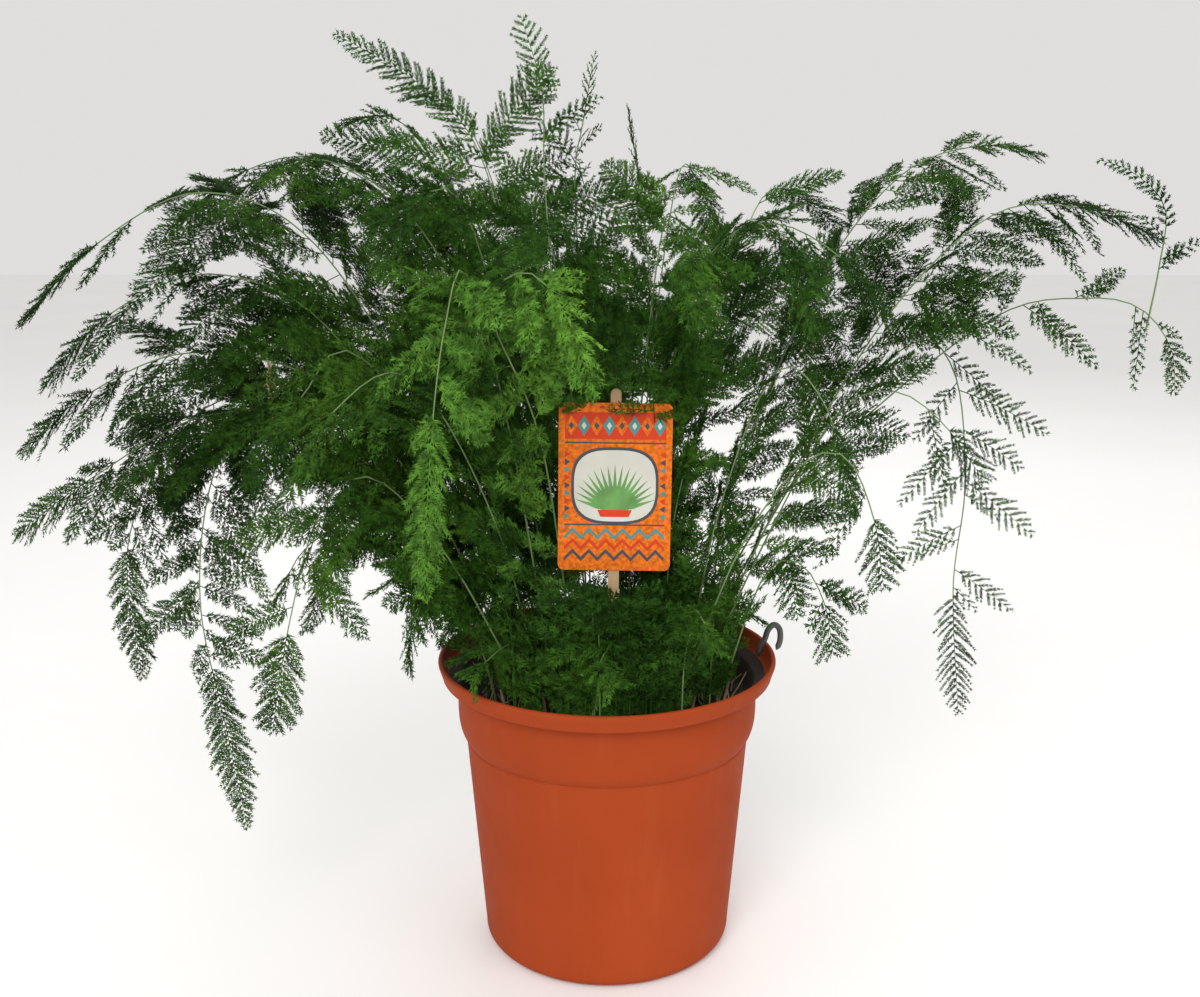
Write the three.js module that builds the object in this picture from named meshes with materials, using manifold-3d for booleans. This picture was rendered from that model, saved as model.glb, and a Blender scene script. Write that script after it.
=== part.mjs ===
// Potted lace fern: a terracotta-coloured plastic pot filled with potting mix, a crown of wiry
// stems whose flat feathery sprays arch out over the rim, a picture label on a stake and a hook
// over the rim. Millimetres, +Z up. The origin is the centre of the pot's underside.

import * as THREE from "three";
import * as BufferGeometryUtils from "three/addons/utils/BufferGeometryUtils.js";
import Module from "manifold-3d";

const wasm = await Module();
wasm.setup();

// Pot
const POT_HEIGHT = 214;
const RIM_RADIUS = 120;
const BASE_RADIUS = 89.5;
const STEP_RADIUS = 101;
const STEP_HEIGHT = 156;
const BAND_RADIUS = 106.5;
const LIP_DROP = 14;
const WALL = 2;
const BULGE_INSET = 2.8;
const CORNER = 9;
const POT_SIDES = 30;
const DRAIN_COUNT = 6;
const DRAIN_RING = 60;
const DRAIN_RADIUS = 5;

// Potting mix
const GAP = 0.35;
const SOIL_EDGE_HEIGHT = 184;
const SOIL_CENTRE_HEIGHT = 188;

// Stems and sprays
const ROOT_HEIGHT = 168;
const CROWN_HEIGHT = 192;
const STEM_RADIUS = 1.4;
const STEM_TIP_RADIUS = 0.95;
const STEM_SIDES = 3;
const STEM_STEP = 85;
const RIB_THICKNESS = 1.3;
const RIB_HALF_WIDTH = 0.9;
const LEAFLET_PITCH = 39;
const LEAFLET_SWEEP = 0.5;
const BARE_SHARE = 0.08;
const ROOT_SHARE = 0.3;
const TIP_PITCH = 26;
const PATH_TRIES = 14;
const SPRAY_TRIES = 9;
const CLEARANCE = 0.9;
const STEM_SEED = 4100;

// Label, stake and rim hook
const CARD_WIDTH = 72;
const CARD_HEIGHT = 108;
const CARD_THICKNESS = 0.8;
const CARD_CORNER = 4;
const CARD_CENTRE = [5, -80, 354];
const CARD_LEAN = 0.014;
const CARD_TIP_BACK = 0.06;
const STAKE_WIDTH = 7;
const STAKE_THICKNESS = 1.6;
const STAKE_ABOVE_CARD = 9;
const STAKE_DEPTH = 22;
const HOOK_RADIUS = 1.8;
const HOOK_ANGLE = 0.16;

// Stems set one by one, each as the points that it passes on its way from the crown to its tip.
// share: where its sprays begin and end; long, wide: its largest spray; roll: how far, in
// degrees, its sprays turn round the stem out of the level, at their start and at the tip.
// branch: the share of the stem before it that it grows out of, where it has no root of its own.
const PLACED_STEMS = [
  // right: a long bare stem whose end hangs in small sprays, and the sprig that rises from it
  { path: [[55, 12], [107, 2, 309], [180, 0, 387], [265, 0, 455], [321, -10, 467], [356, -10, 460],
    [378, -12, 434], [383, -14, 402]], share: [0.6, 0.92], sprays: 4, long: 62, wide: 15,
    roll: [70, 80] },
  { branch: 0.89, path: [[369, -2, 487], [370, 0, 526], [346, 0, 549], [322, 0, 557]],
    share: [0.3, 0.5], sprays: 2, long: 26, wide: 9, roll: [80, 85] },
  // right: a thin stem that hangs straight down beside the pot
  { path: [[62, 38], [150, 32, 360], [212, 26, 432], [242, 20, 412], [254, 20, 333], [250, 20, 256],
    [259, 18, 157]], share: [0.56, 0.84], sprays: 5, long: 78, wide: 22, roll: [90, 90] },
  // right: layered fronds above
  { path: [[44, 36], [92, 52, 330], [150, 58, 470], [205, 60, 545], [260, 60, 566],
    [306, 60, 560]], share: [0.52, 0.9], sprays: 5, long: 98, wide: 24, roll: [12, 20] },
  { path: [[62, -8], [122, 0, 330], [190, 12, 450], [262, 22, 520], [325, 16, 524],
    [373, 2, 503]], share: [0.5, 0.88], sprays: 5, long: 100, wide: 26, roll: [10, 25] },
  { path: [[60, -26], [112, -40, 320], [150, -50, 396], [184, -56, 412], [216, -60, 392],
    [246, -62, 352]], share: [0.5, 0.88], sprays: 4, long: 84, wide: 26, roll: [8, 40] },
  { path: [[48, -44], [84, -80, 310], [118, -104, 372], [144, -116, 382], [162, -122, 346],
    [171, -122, 298]], share: [0.5, 0.86], sprays: 4, long: 74, wide: 24, roll: [0, 50] },
  // left: long fronds, one above the other
  { path: [[-30, -6], [-62, -4, 370], [-110, -2, 490], [-158, 4, 544], [-206, 8, 556],
    [-258, 8, 528]], share: [0.46, 0.86], sprays: 5, long: 96, wide: 27, roll: [-14, -25] },
  { path: [[-46, 34], [-84, 44, 360], [-136, 54, 505], [-196, 60, 556], [-256, 60, 548],
    [-312, 58, 506]], share: [0.46, 0.86], sprays: 5, long: 100, wide: 28, roll: [-10, -25] },
  { path: [[-60, 6], [-112, 0, 350], [-184, -8, 492], [-262, -14, 540], [-338, -18, 504],
    [-396, -20, 446]], share: [0.46, 0.86], sprays: 5, long: 108, wide: 28, roll: [-12, -20] },
  { path: [[-68, -8], [-120, -26, 340], [-182, -40, 452], [-250, -48, 486], [-316, -50, 462],
    [-368, -48, 412]], share: [0.46, 0.86], sprays: 5, long: 100, wide: 28, roll: [-8, -25] },
  { path: [[-56, -34], [-112, -46, 326], [-182, -56, 416], [-262, -64, 438], [-330, -66, 412],
    [-380, -64, 372]], share: [0.46, 0.86], sprays: 5, long: 104, wide: 28, roll: [-8, -25] },
  { path: [[-64, -18], [-124, -22, 316], [-190, -28, 384], [-266, -36, 392], [-344, -40, 350],
    [-399, -40, 311]], share: [0.48, 0.86], sprays: 5, long: 98, wide: 28, roll: [-5, -35] },
  // left: hanging bunches
  { path: [[-68, 22], [-128, 10, 330], [-190, -4, 404], [-240, -10, 394], [-270, -18, 342],
    [-280, -28, 260], [-268, -30, 172], [-257, -30, 90]], share: [0.5, 0.8], sprays: 5,
    long: 76, wide: 22, roll: [-30, -90] },
  { path: [[-70, -2], [-142, 4, 330], [-215, 8, 396], [-286, 2, 384], [-332, -10, 300],
    [-329, -14, 198]], share: [0.52, 0.82], sprays: 4, long: 80, wide: 24, roll: [-20, -80] },
  { path: [[-50, -52], [-102, -78, 306], [-146, -90, 362], [-180, -94, 342], [-204, -92, 268],
    [-221, -88, 188]], share: [0.5, 0.82], sprays: 4, long: 76, wide: 25, roll: [-20, -80] },
  // low fronds that hang over the lip, two at the left and one at the right
  { path: [[-78, -30], [-98, -54, 286], [-114, -76, 304], [-124, -94, 278], [-127, -104, 238]],
    share: [0.42, 0.84], sprays: 3, long: 66, wide: 24, roll: [0, 40] },
  { path: [[-84, 6], [-128, 0, 296], [-166, -8, 312], [-194, -16, 280], [-208, -20, 236]],
    share: [0.42, 0.84], sprays: 3, long: 56, wide: 22, roll: [0, 40] },
  { path: [[78, -34], [103, -54, 284], [124, -70, 302], [140, -82, 280], [147, -90, 244]],
    share: [0.42, 0.84], sprays: 3, long: 62, wide: 24, roll: [0, 40] },
  // top: upright fronds
  { path: [[-26, 26], [-50, 22, 350], [-68, 16, 490], [-88, 20, 566], [-126, 30, 606],
    [-184, 34, 640]], share: [0.5, 0.76], sprays: 4, long: 66, wide: 22, roll: [-60, -60] },
  { path: [[-8, 18], [-28, 10, 360], [-41, 8, 534], [-43, 18, 599], [-57, 20, 650]],
    share: [0.55, 0.88], sprays: 4, long: 66, wide: 18, roll: [-80, -80] },
  { path: [[10, 36], [-8, 42, 350], [-22, 46, 527], [-16, 54, 585], [-8, 60, 630]],
    share: [0.6, 0.9], sprays: 3, long: 46, wide: 15, roll: [80, 80] },
  { path: [[26, 52], [34, 66, 400], [26, 78, 520], [14, 84, 596]],
    share: [0.55, 0.86], sprays: 4, long: 62, wide: 19, roll: [80, 70] },
  // front right of the top: a frond that arches over the label's side
  { path: [[18, -34], [34, -44, 370], [58, -52, 486], [98, -62, 518], [142, -70, 500],
    [180, -74, 456]], share: [0.5, 0.88], sprays: 4, long: 92, wide: 28, roll: [5, 20] },
  // front left: a pale stem that arches forward, with a bright hanging frond
  { path: [[-34, -56], [-58, -96, 380], [-80, -138, 492], [-90, -172, 466], [-98, -192, 396],
    [-103, -198, 314]], share: [0.5, 0.8], sprays: 5, long: 66, wide: 24, roll: [0, 5] },
  { path: [[-18, -50], [-40, -92, 380], [-66, -142, 470], [-46, -172, 497], [-24, -186, 478],
    [-6, -194, 428]], share: [0.5, 0.84], sprays: 4, long: 66, wide: 24, roll: [0, 60] },
];

// Rings of stems round the whole crown: reach of the tips from the middle, height of the arch
// and of the tips, radius of the ring that they rise from, and their sprays. from, to: the
// part of the round that the ring takes, in degrees from the right-hand side.
const RINGS = [
  { count: 5, from: 52, to: 152, reach: 322, arch: 452, tip: 356, root: 68, sprays: 4, long: 104, wide: 31 },
  { count: 4, from: 18, to: 162, reach: 236, arch: 548, tip: 484, root: 44, sprays: 4, long: 98, wide: 29 },
  { count: 2, from: 208, to: 232, reach: 278, arch: 440, tip: 352, root: 66, sprays: 4, long: 96, wide: 28 },
  { count: 1, from: 314, to: 326, reach: 190, arch: 430, tip: 350, root: 66, sprays: 3, long: 74, wide: 23 },
  { count: 4, from: 196, to: 344, reach: 178, arch: 526, tip: 470, root: 36, sprays: 4, long: 94, wide: 28 },
  { count: 2, from: 30, to: 150, reach: 204, arch: 330, tip: 262, root: 74, sprays: 3, long: 58, wide: 22 },
  { count: 5, from: 175, to: 365, reach: 118, arch: 262, tip: 243, root: 66, sprays: 2, long: 50, wide: 21 },
];

// Repeatable draws between 0 and 1
function drawsFrom(seed) {
  let state = seed;
  return () => {
    state = (state + 0x6d2b79f5) | 0;
    let mixed = Math.imul(state ^ (state >>> 15), 1 | state);
    mixed = (mixed + Math.imul(mixed ^ (mixed >>> 7), 61 | mixed)) ^ mixed;
    return ((mixed ^ (mixed >>> 14)) >>> 0) / 4294967296;
  };
}

// A draw from -size to size
function spread(draw, size) {
  return (2 * draw() - 1) * size;
}

function solidFrom(points, triangles) {
  return new wasm.Manifold(new wasm.Mesh({
    numProp: 3,
    vertProperties: new Float32Array(points),
    triVerts: new Uint32Array(triangles),
  }));
}

// The solid of a closed three.js geometry, its seams merged and its pole triangles dropped
function solidOf(geometry) {
  const bare = geometry.clone();
  bare.deleteAttribute("normal");
  bare.deleteAttribute("uv");
  const merged = BufferGeometryUtils.mergeVertices(bare, 1e-4);
  const triangles = [];
  for (let i = 0; i < merged.index.count; i += 3) {
    const [a, b, c] = merged.index.array.slice(i, i + 3);
    if (a !== b && b !== c && c !== a) {
      triangles.push(a, b, c);
    }
  }
  return solidFrom(merged.attributes.position.array, triangles);
}

function geometryOf(solid) {
  const mesh = solid.getMesh();
  const geometry = new THREE.BufferGeometry();
  geometry.setAttribute("position", new THREE.BufferAttribute(mesh.vertProperties, 3));
  geometry.setIndex(new THREE.BufferAttribute(mesh.triVerts, 1));
  return geometry;
}

function turned(profile) {
  const points = profile.map(([radius, height]) => new THREE.Vector2(radius, height));
  return new THREE.LatheGeometry(points, POT_SIDES).rotateX(Math.PI / 2);
}

// Pot: flat underside, rounded foot, tapering wall, a step, a bulging band and a flared lip
function potSolid() {
  const foot = CORNER * (1 - Math.SQRT1_2);
  const lipLow = POT_HEIGHT - LIP_DROP;
  const outside = [
    [0, 0], [BASE_RADIUS - CORNER, 0], [BASE_RADIUS - foot, foot], [BASE_RADIUS, CORNER],
    [STEP_RADIUS, STEP_HEIGHT - 1], [STEP_RADIUS + 0.6, STEP_HEIGHT + 1],
    [BAND_RADIUS - 2.6, STEP_HEIGHT + 8], [BAND_RADIUS - 0.5, STEP_HEIGHT + 20],
    [BAND_RADIUS, lipLow - 5], [RIM_RADIUS - 3, lipLow],
    [RIM_RADIUS, POT_HEIGHT - 3], [RIM_RADIUS - 1.2, POT_HEIGHT],
  ];
  const inside = [
    [RIM_RADIUS - 3, POT_HEIGHT - 0.4], [RIM_RADIUS - 5.6, lipLow + 1.2],
    [BAND_RADIUS - WALL, lipLow - 3.6], [BAND_RADIUS - WALL - BULGE_INSET, STEP_HEIGHT + 8],
    [STEP_RADIUS - WALL, STEP_HEIGHT - 1], [BASE_RADIUS - WALL, CORNER],
    [BASE_RADIUS - CORNER, WALL], [0, WALL],
  ];
  let pot = solidOf(turned([...outside, ...inside]));
  for (let i = 0; i < DRAIN_COUNT; i += 1) {
    const angle = (i + 0.5) * 2 * Math.PI / DRAIN_COUNT;
    const drain = new THREE.CylinderGeometry(DRAIN_RADIUS, DRAIN_RADIUS, 4 * WALL, 6);
    drain.rotateX(Math.PI / 2);
    drain.translate(DRAIN_RING * Math.cos(angle), DRAIN_RING * Math.sin(angle), WALL / 2);
    pot = pot.subtract(solidOf(drain));
  }
  return pot;
}

// Potting mix, a little inside the pot's wall all the way up
function soilSolid() {
  return solidOf(turned([
    [0, WALL + GAP], [BASE_RADIUS - CORNER - 0.5, WALL + GAP],
    [BASE_RADIUS - WALL - GAP, CORNER + 0.6], [STEP_RADIUS - WALL - GAP, STEP_HEIGHT - 0.6],
    [BAND_RADIUS - WALL - BULGE_INSET - GAP, STEP_HEIGHT + 8.4],
    [BAND_RADIUS - WALL - 0.4 * BULGE_INSET - GAP, SOIL_EDGE_HEIGHT],
    [64, SOIL_CENTRE_HEIGHT - 1.6], [0, SOIL_CENTRE_HEIGHT],
  ]));
}

// A plain three-sided hole for one stem's root
function rootHole(x, y) {
  const radius = STEM_RADIUS + 2 * GAP;
  const low = new THREE.Vector3(x, y, ROOT_HEIGHT - GAP);
  const high = new THREE.Vector3(x, y, SOIL_CENTRE_HEIGHT + 6);
  return tubeSolid([low, high], [radius, radius]);
}

// A thin tube through the points, with a radius at each
function tubeSolid(points, radii) {
  const vertices = [];
  const triangles = [];
  let side = new THREE.Vector3(1, 0, 0);
  points.forEach((point, i) => {
    const before = points[Math.max(i - 1, 0)];
    const after = points[Math.min(i + 1, points.length - 1)];
    const along = after.clone().sub(before).normalize();
    side = side.clone().addScaledVector(along, -side.dot(along)).normalize();
    const across = along.clone().cross(side);
    for (let k = 0; k < STEM_SIDES; k += 1) {
      const angle = k * 2 * Math.PI / STEM_SIDES;
      vertices.push(...point.clone()
        .addScaledVector(side, radii[i] * Math.cos(angle))
        .addScaledVector(across, radii[i] * Math.sin(angle)));
    }
  });
  const last = (points.length - 1) * STEM_SIDES;
  triangles.push(0, 2, 1, last, last + 1, last + 2);
  for (let i = 0; i < last; i += STEM_SIDES) {
    for (let k = 0; k < STEM_SIDES; k += 1) {
      const next = (k + 1) % STEM_SIDES;
      triangles.push(i + k, i + next, i + STEM_SIDES + next);
      triangles.push(i + k, i + STEM_SIDES + next, i + STEM_SIDES + k);
    }
  }
  return solidFrom(vertices, triangles);
}

// A spray: a slim rib through the points, with a leaflet cut to the rib on each side of every
// stretch but the last, which is the leaflet at the tip. across: a unit vector to the left at
// each point; reach: the length of each pair of leaflets, 0 where the rib is bare; extra: how
// much fatter it is made.
function spraySolid(rib, across, reach, extra = 0) {
  const vertices = [];
  const triangles = [];
  const pairs = reach.length;
  for (let i = 0; i <= pairs; i += 1) {
    const along = rib[i + 1].clone().sub(rib[Math.max(i - 1, 0)]).normalize();
    const up = along.clone().cross(across[i]).normalize();
    const full = i === 0 ? ROOT_SHARE : 1;
    const half = full * RIB_THICKNESS * (1 - 0.35 * i / pairs) / 2 + extra;
    const broad = full * RIB_HALF_WIDTH * (1 - 0.2 * i / pairs) + extra;
    vertices.push(...rib[i].clone().addScaledVector(up, half));
    vertices.push(...rib[i].clone().addScaledVector(across[i], broad));
    vertices.push(...rib[i].clone().addScaledVector(up, -half));
    vertices.push(...rib[i].clone().addScaledVector(across[i], -broad));
  }
  for (let i = 0; i < pairs; i += 1) {
    const [top, left, under, right] = [4 * i, 4 * i + 1, 4 * i + 2, 4 * i + 3];
    if (reach[i] === 0) {
      triangles.push(top, top + 4, left, left, top + 4, left + 4);
      triangles.push(under, left, under + 4, left, left + 4, under + 4);
      triangles.push(top, right, top + 4, right, right + 4, top + 4);
      triangles.push(under, under + 4, right, right, under + 4, right + 4);
      continue;
    }
    const along = rib[i + 1].clone().sub(rib[i]).normalize();
    const middle = rib[i].clone().add(rib[i + 1]).multiplyScalar(0.5);
    const leftTip = vertices.length / 3;
    const rightTip = leftTip + 1;
    for (const way of [1, -1]) {
      vertices.push(...middle.clone()
        .addScaledVector(across[i], way * (reach[i] + 1.6 * extra))
        .addScaledVector(along, LEAFLET_SWEEP * reach[i]));
    }
    triangles.push(top, top + 4, leftTip, top + 4, left + 4, leftTip, top, leftTip, left);
    triangles.push(under, leftTip, under + 4, under + 4, leftTip, left + 4, under, left, leftTip);
    triangles.push(top, rightTip, top + 4, top + 4, rightTip, right + 4, top, right, rightTip);
    triangles.push(under, under + 4, rightTip, under + 4, right + 4, rightTip);
    triangles.push(under, rightTip, right);
  }
  const end = rib[pairs + 1].clone().sub(rib[pairs]);
  const tip = vertices.length / 3;
  vertices.push(...rib[pairs + 1].clone().addScaledVector(end.normalize(), 1.6 * extra));
  const [top, left, under, right] = [4 * pairs, 4 * pairs + 1, 4 * pairs + 2, 4 * pairs + 3];
  triangles.push(0, 1, 2, 0, 2, 3);
  triangles.push(top, tip, left, top, right, tip, under, left, tip, under, tip, right);
  return solidFrom(vertices, triangles);
}

// How long a pair of leaflets is at a share of the spray's length: widest near the first third
function leafletShare(share) {
  return Math.pow(1 - share, 0.7) * (0.62 + 1.5 * share);
}

// A stem's curve, with the directions that its sprays follow: across lies in the frond's plane
function curveOf(stem) {
  const points = stem.path.map(([x, y, z = CROWN_HEIGHT]) => new THREE.Vector3(x, y, z));
  const curve = new THREE.CatmullRomCurve3(points, false, "catmullrom", 0.5);
  const last = points[points.length - 1];
  const heading = new THREE.Vector3(last.x - points[0].x, last.y - points[0].y, 0).normalize();
  const level = new THREE.Vector3(-heading.y, heading.x, 0);
  const frame = (share) => {
    const along = curve.getTangentAt(share);
    const up = along.clone().cross(level).normalize();
    const side = up.clone().cross(along);
    const roll = THREE.MathUtils.degToRad(stem.roll[0] + (stem.roll[1] - stem.roll[0]) * share);
    const across = side.clone().multiplyScalar(Math.cos(roll)).addScaledVector(up, Math.sin(roll));
    return { along, across, up: along.clone().cross(across) };
  };
  const length = curve.getLength();
  const end = stem.share[1];
  const steps = Math.max(3, Math.round(length * end / STEM_STEP));
  const joints = Array.from({ length: steps + 1 }, (_, i) => curve.getPointAt(end * i / steps));
  // the point at a share of the curve, on the straight stretches that the tube follows
  const tubePoint = (share) => {
    const place = Math.min(share / end * steps, steps - 1e-9);
    const joint = Math.floor(place);
    return joints[joint].clone().lerp(joints[joint + 1], place - joint);
  };
  return { curve, frame, length, joints, tubePoint };
}

// The bare part of a stem, down into the potting mix, as the points and radii of a tube
function stemTube(stem, grown, extra = 0) {
  const steps = grown.joints.length - 1;
  const points = [...grown.joints];
  const radii = points.map((_, i) => STEM_RADIUS + (STEM_TIP_RADIUS - STEM_RADIUS) * i / steps + extra);
  if (!stem.branch) {
    const [x, y] = stem.path[0];
    points.unshift(new THREE.Vector3(x, y, ROOT_HEIGHT));
    radii.unshift(STEM_RADIUS + extra);
  }
  return tubeSolid(points, radii);
}

// The spray that carries the stem on to its tip
function tipSpray(stem, grown, extra = 0) {
  const start = stem.share[1] - 2 / grown.length;
  const length = grown.length * (1 - start);
  const pairs = Math.min(7, Math.max(2, Math.round(length / TIP_PITCH)));
  const shares = Array.from({ length: pairs + 2 }, (_, i) => start + (1 - start) * i / (pairs + 1));
  const rib = shares.map((share) => grown.curve.getPointAt(Math.min(share, 1)));
  const across = shares.map((share) => grown.frame(Math.min(share, 1)).across);
  const reach = Array.from({ length: pairs }, (_, i) => {
    return 1.15 * stem.wide * leafletShare((i + 0.8) / (pairs + 1));
  });
  return spraySolid(rib, across, reach, extra);
}

// One side spray: it leaves the stem forward and to one side, and sags towards its tip
function sideSpray(stem, grown, place, attempt, draw, extra = 0) {
  const [start, end] = stem.share;
  const share = start + (end - start) * (place + 0.4) / stem.sprays;
  const { along, across, up } = grown.frame(share);
  const way = place % 2 === 0 ? 1 : -1;
  const loose = 10 + 6 * attempt;
  const open = THREE.MathUtils.degToRad(54 + spread(draw, 8 + 2 * attempt));
  const lift = THREE.MathUtils.degToRad(spread(draw, loose));
  const twist = THREE.MathUtils.degToRad(spread(draw, loose));
  const length = stem.long * (1 - 0.45 * place / stem.sprays) * (0.85 + 0.3 * draw())
    * (1 - 0.05 * attempt);
  const sag = 0.04 + 0.14 * draw();
  const out = along.clone().multiplyScalar(Math.cos(open))
    .addScaledVector(across, way * Math.sin(open));
  out.multiplyScalar(Math.cos(lift)).addScaledVector(up, Math.sin(lift)).normalize();
  const flat = up.clone().cross(out).normalize();
  const normal = out.clone().cross(flat);
  flat.multiplyScalar(Math.cos(twist)).addScaledVector(normal, Math.sin(twist));
  const pairs = Math.min(5, Math.max(2, Math.round(length / LEAFLET_PITCH)));
  const root = grown.tubePoint(share);
  const parts = [0, ...Array.from({ length: pairs + 2 }, (_, i) => {
    return BARE_SHARE + (1 - BARE_SHARE) * i / (pairs + 1);
  })];
  const rib = parts.map((part) => {
    const point = root.clone().addScaledVector(out, length * part);
    point.z -= sag * length * part * part;
    return point;
  });
  const reach = [0, ...Array.from({ length: pairs }, (_, i) => {
    return stem.wide * (length / stem.long) * leafletShare((i + 0.5) / (pairs + 1));
  })];
  return spraySolid(rib, rib.map(() => flat), reach, extra);
}

// Solids that are already in place, each with its box
const inPlace = [];

function place(solid, owner) {
  inPlace.push({ solid, owner, box: solid.boundingBox() });
}

function boxesMeet(one, other) {
  return [0, 1, 2].every((k) => one.min[k] <= other.max[k] && other.min[k] <= one.max[k]);
}

// Whether a fattened solid stays clear of all that is in place, but for its owner's own stem
function isClear(fat, owner) {
  const box = fat.boundingBox();
  return inPlace.every((other) => {
    return other.owner === owner || !boxesMeet(box, other.box) || fat.intersect(other.solid).isEmpty();
  });
}

// The path of a stem for one attempt: the first is the path as given, and later ones are bent
function bentPath(path, attempt, draw) {
  return path.map((point, i) => {
    const size = attempt === 0 ? 0 : 3 + (i === 0 ? 0 : 2 * attempt);
    const bend = [spread(draw, size), spread(draw, size), spread(draw, i === 0 ? 0 : size)];
    return point.map((value, k) => value + bend[k]);
  });
}

// The stems of the rings, as paths by rule
function ringStems() {
  const stems = [];
  RINGS.forEach((ring, level) => {
    for (let i = 0; i < ring.count; i += 1) {
      const draw = drawsFrom(STEM_SEED + 100 * level + i);
      const turn = ring.from + (ring.to - ring.from) * (i + 0.5) / ring.count + spread(draw, 6);
      const angle = THREE.MathUtils.degToRad(turn);
      const reach = ring.reach * (1 + spread(draw, 0.07));
      const arch = ring.arch + spread(draw, 16);
      const tip = ring.tip + spread(draw, 20);
      const out = (radius, height) => {
        return [radius * Math.cos(angle), radius * Math.sin(angle), height];
      };
      const root = ring.root * (1 + spread(draw, 0.1));
      const rise = arch - CROWN_HEIGHT;
      stems.push({
        path: [
          out(root, CROWN_HEIGHT), out(root + 0.2 * (reach - root), CROWN_HEIGHT + 0.55 * rise),
          out(root + 0.52 * (reach - root), arch - 0.03 * rise),
          out(root + 0.8 * (reach - root), arch - 0.25 * (arch - tip)), out(reach, tip),
        ],
        share: [0.42, 0.84], sprays: ring.sprays, long: ring.long, wide: ring.wide,
        roll: [spread(draw, 12), spread(draw, 30)],
      });
    }
  });
  return stems;
}

// The stems and the end sprays come first, each bent clear of those before it, and then the
// side sprays, each turned clear of all else; one that finds no room is left out.
function growAll() {
  const nodes = [];
  const stems = [...PLACED_STEMS, ...ringStems()];
  stems.forEach((stem, number) => {
    const owner = stem.branch ? nodes.length - 1 : nodes.length;
    for (let attempt = 0; attempt < PATH_TRIES; attempt += 1) {
      const draw = drawsFrom(STEM_SEED + 1000 * number + attempt);
      const bent = { ...stem, path: bentPath(stem.path, attempt, draw) };
      if (stem.branch) {
        bent.path.unshift(nodes[owner].stems[0].grown.tubePoint(stem.branch).toArray());
      }
      const grown = curveOf(bent);
      const fat = stemTube(bent, grown, CLEARANCE).add(tipSpray(bent, grown, CLEARANCE));
      if (isClear(fat, `stem ${owner}`)) {
        const solid = stemTube(bent, grown).add(tipSpray(bent, grown));
        place(solid, `stem ${owner}`);
        if (stem.branch) {
          nodes[owner].parts.push(solid);
        } else {
          nodes.push({ root: bent.path[0], parts: [solid], number });
        }
        nodes[owner].stems = [...(nodes[owner].stems ?? []), { bent, grown, number }];
        break;
      }
    }
  });
  nodes.forEach((node, owner) => {
    node.stems.forEach(({ bent, grown, number }) => {
      for (let spray = 0; spray < bent.sprays; spray += 1) {
        growSpray(node, owner, bent, grown, number, spray);
      }
    });
  });
  return nodes;
}

function growSpray(node, owner, stem, grown, number, spray) {
  for (let attempt = 0; attempt < SPRAY_TRIES; attempt += 1) {
    const seed = STEM_SEED + 1000 * number + 20 * (spray + 1) + attempt;
    const fat = sideSpray(stem, grown, spray, attempt, drawsFrom(seed), CLEARANCE);
    if (isClear(fat, `stem ${owner}`)) {
      const solid = sideSpray(stem, grown, spray, attempt, drawsFrom(seed));
      place(solid, `spray ${number} ${spray}`);
      node.parts.push(solid);
      return;
    }
  }
}

function cardGeometry() {
  const [w, h, r] = [CARD_WIDTH / 2, CARD_HEIGHT / 2, CARD_CORNER];
  const outline = new THREE.Shape();
  outline.moveTo(-w + r, -h);
  outline.lineTo(w - r, -h);
  outline.absarc(w - r, -h + r, r, -Math.PI / 2, 0);
  outline.absarc(w - r, h - r, r, 0, Math.PI / 2);
  outline.absarc(-w + r, h - r, r, Math.PI / 2, Math.PI);
  outline.absarc(-w + r, -h + r, r, Math.PI, 1.5 * Math.PI);
  return new THREE.ExtrudeGeometry(outline, {
    depth: CARD_THICKNESS, bevelEnabled: false, curveSegments: 3,
  });
}

// The label's own frame: x across the card, y up it and z out of its face, towards the front
const labelPlace = new THREE.Matrix4()
  .makeTranslation(...CARD_CENTRE)
  .multiply(new THREE.Matrix4().makeRotationY(CARD_LEAN))
  .multiply(new THREE.Matrix4().makeRotationX(Math.PI / 2 - CARD_TIP_BACK));

function stakeGeometry() {
  const top = CARD_HEIGHT / 2 + STAKE_ABOVE_CARD;
  const bottom = SOIL_EDGE_HEIGHT - STAKE_DEPTH - CARD_CENTRE[2];
  const stake = new THREE.BoxGeometry(STAKE_WIDTH, top - bottom, STAKE_THICKNESS);
  return stake.translate(0, (top + bottom) / 2, -GAP - STAKE_THICKNESS / 2);
}

function stakeHole() {
  const bottom = SOIL_EDGE_HEIGHT - STAKE_DEPTH - CARD_CENTRE[2] - GAP;
  const hole = new THREE.BoxGeometry(STAKE_WIDTH + 2 * GAP, 60, STAKE_THICKNESS + 2 * GAP);
  return hole.translate(0, bottom + 30, -GAP - STAKE_THICKNESS / 2);
}

// The space in front of the label that the foliage leaves open
function labelView() {
  const view = new THREE.BoxGeometry(CARD_WIDTH - 14, CARD_HEIGHT - 22, 150);
  return view.translate(0, -6, 78).applyMatrix4(labelPlace);
}

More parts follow.
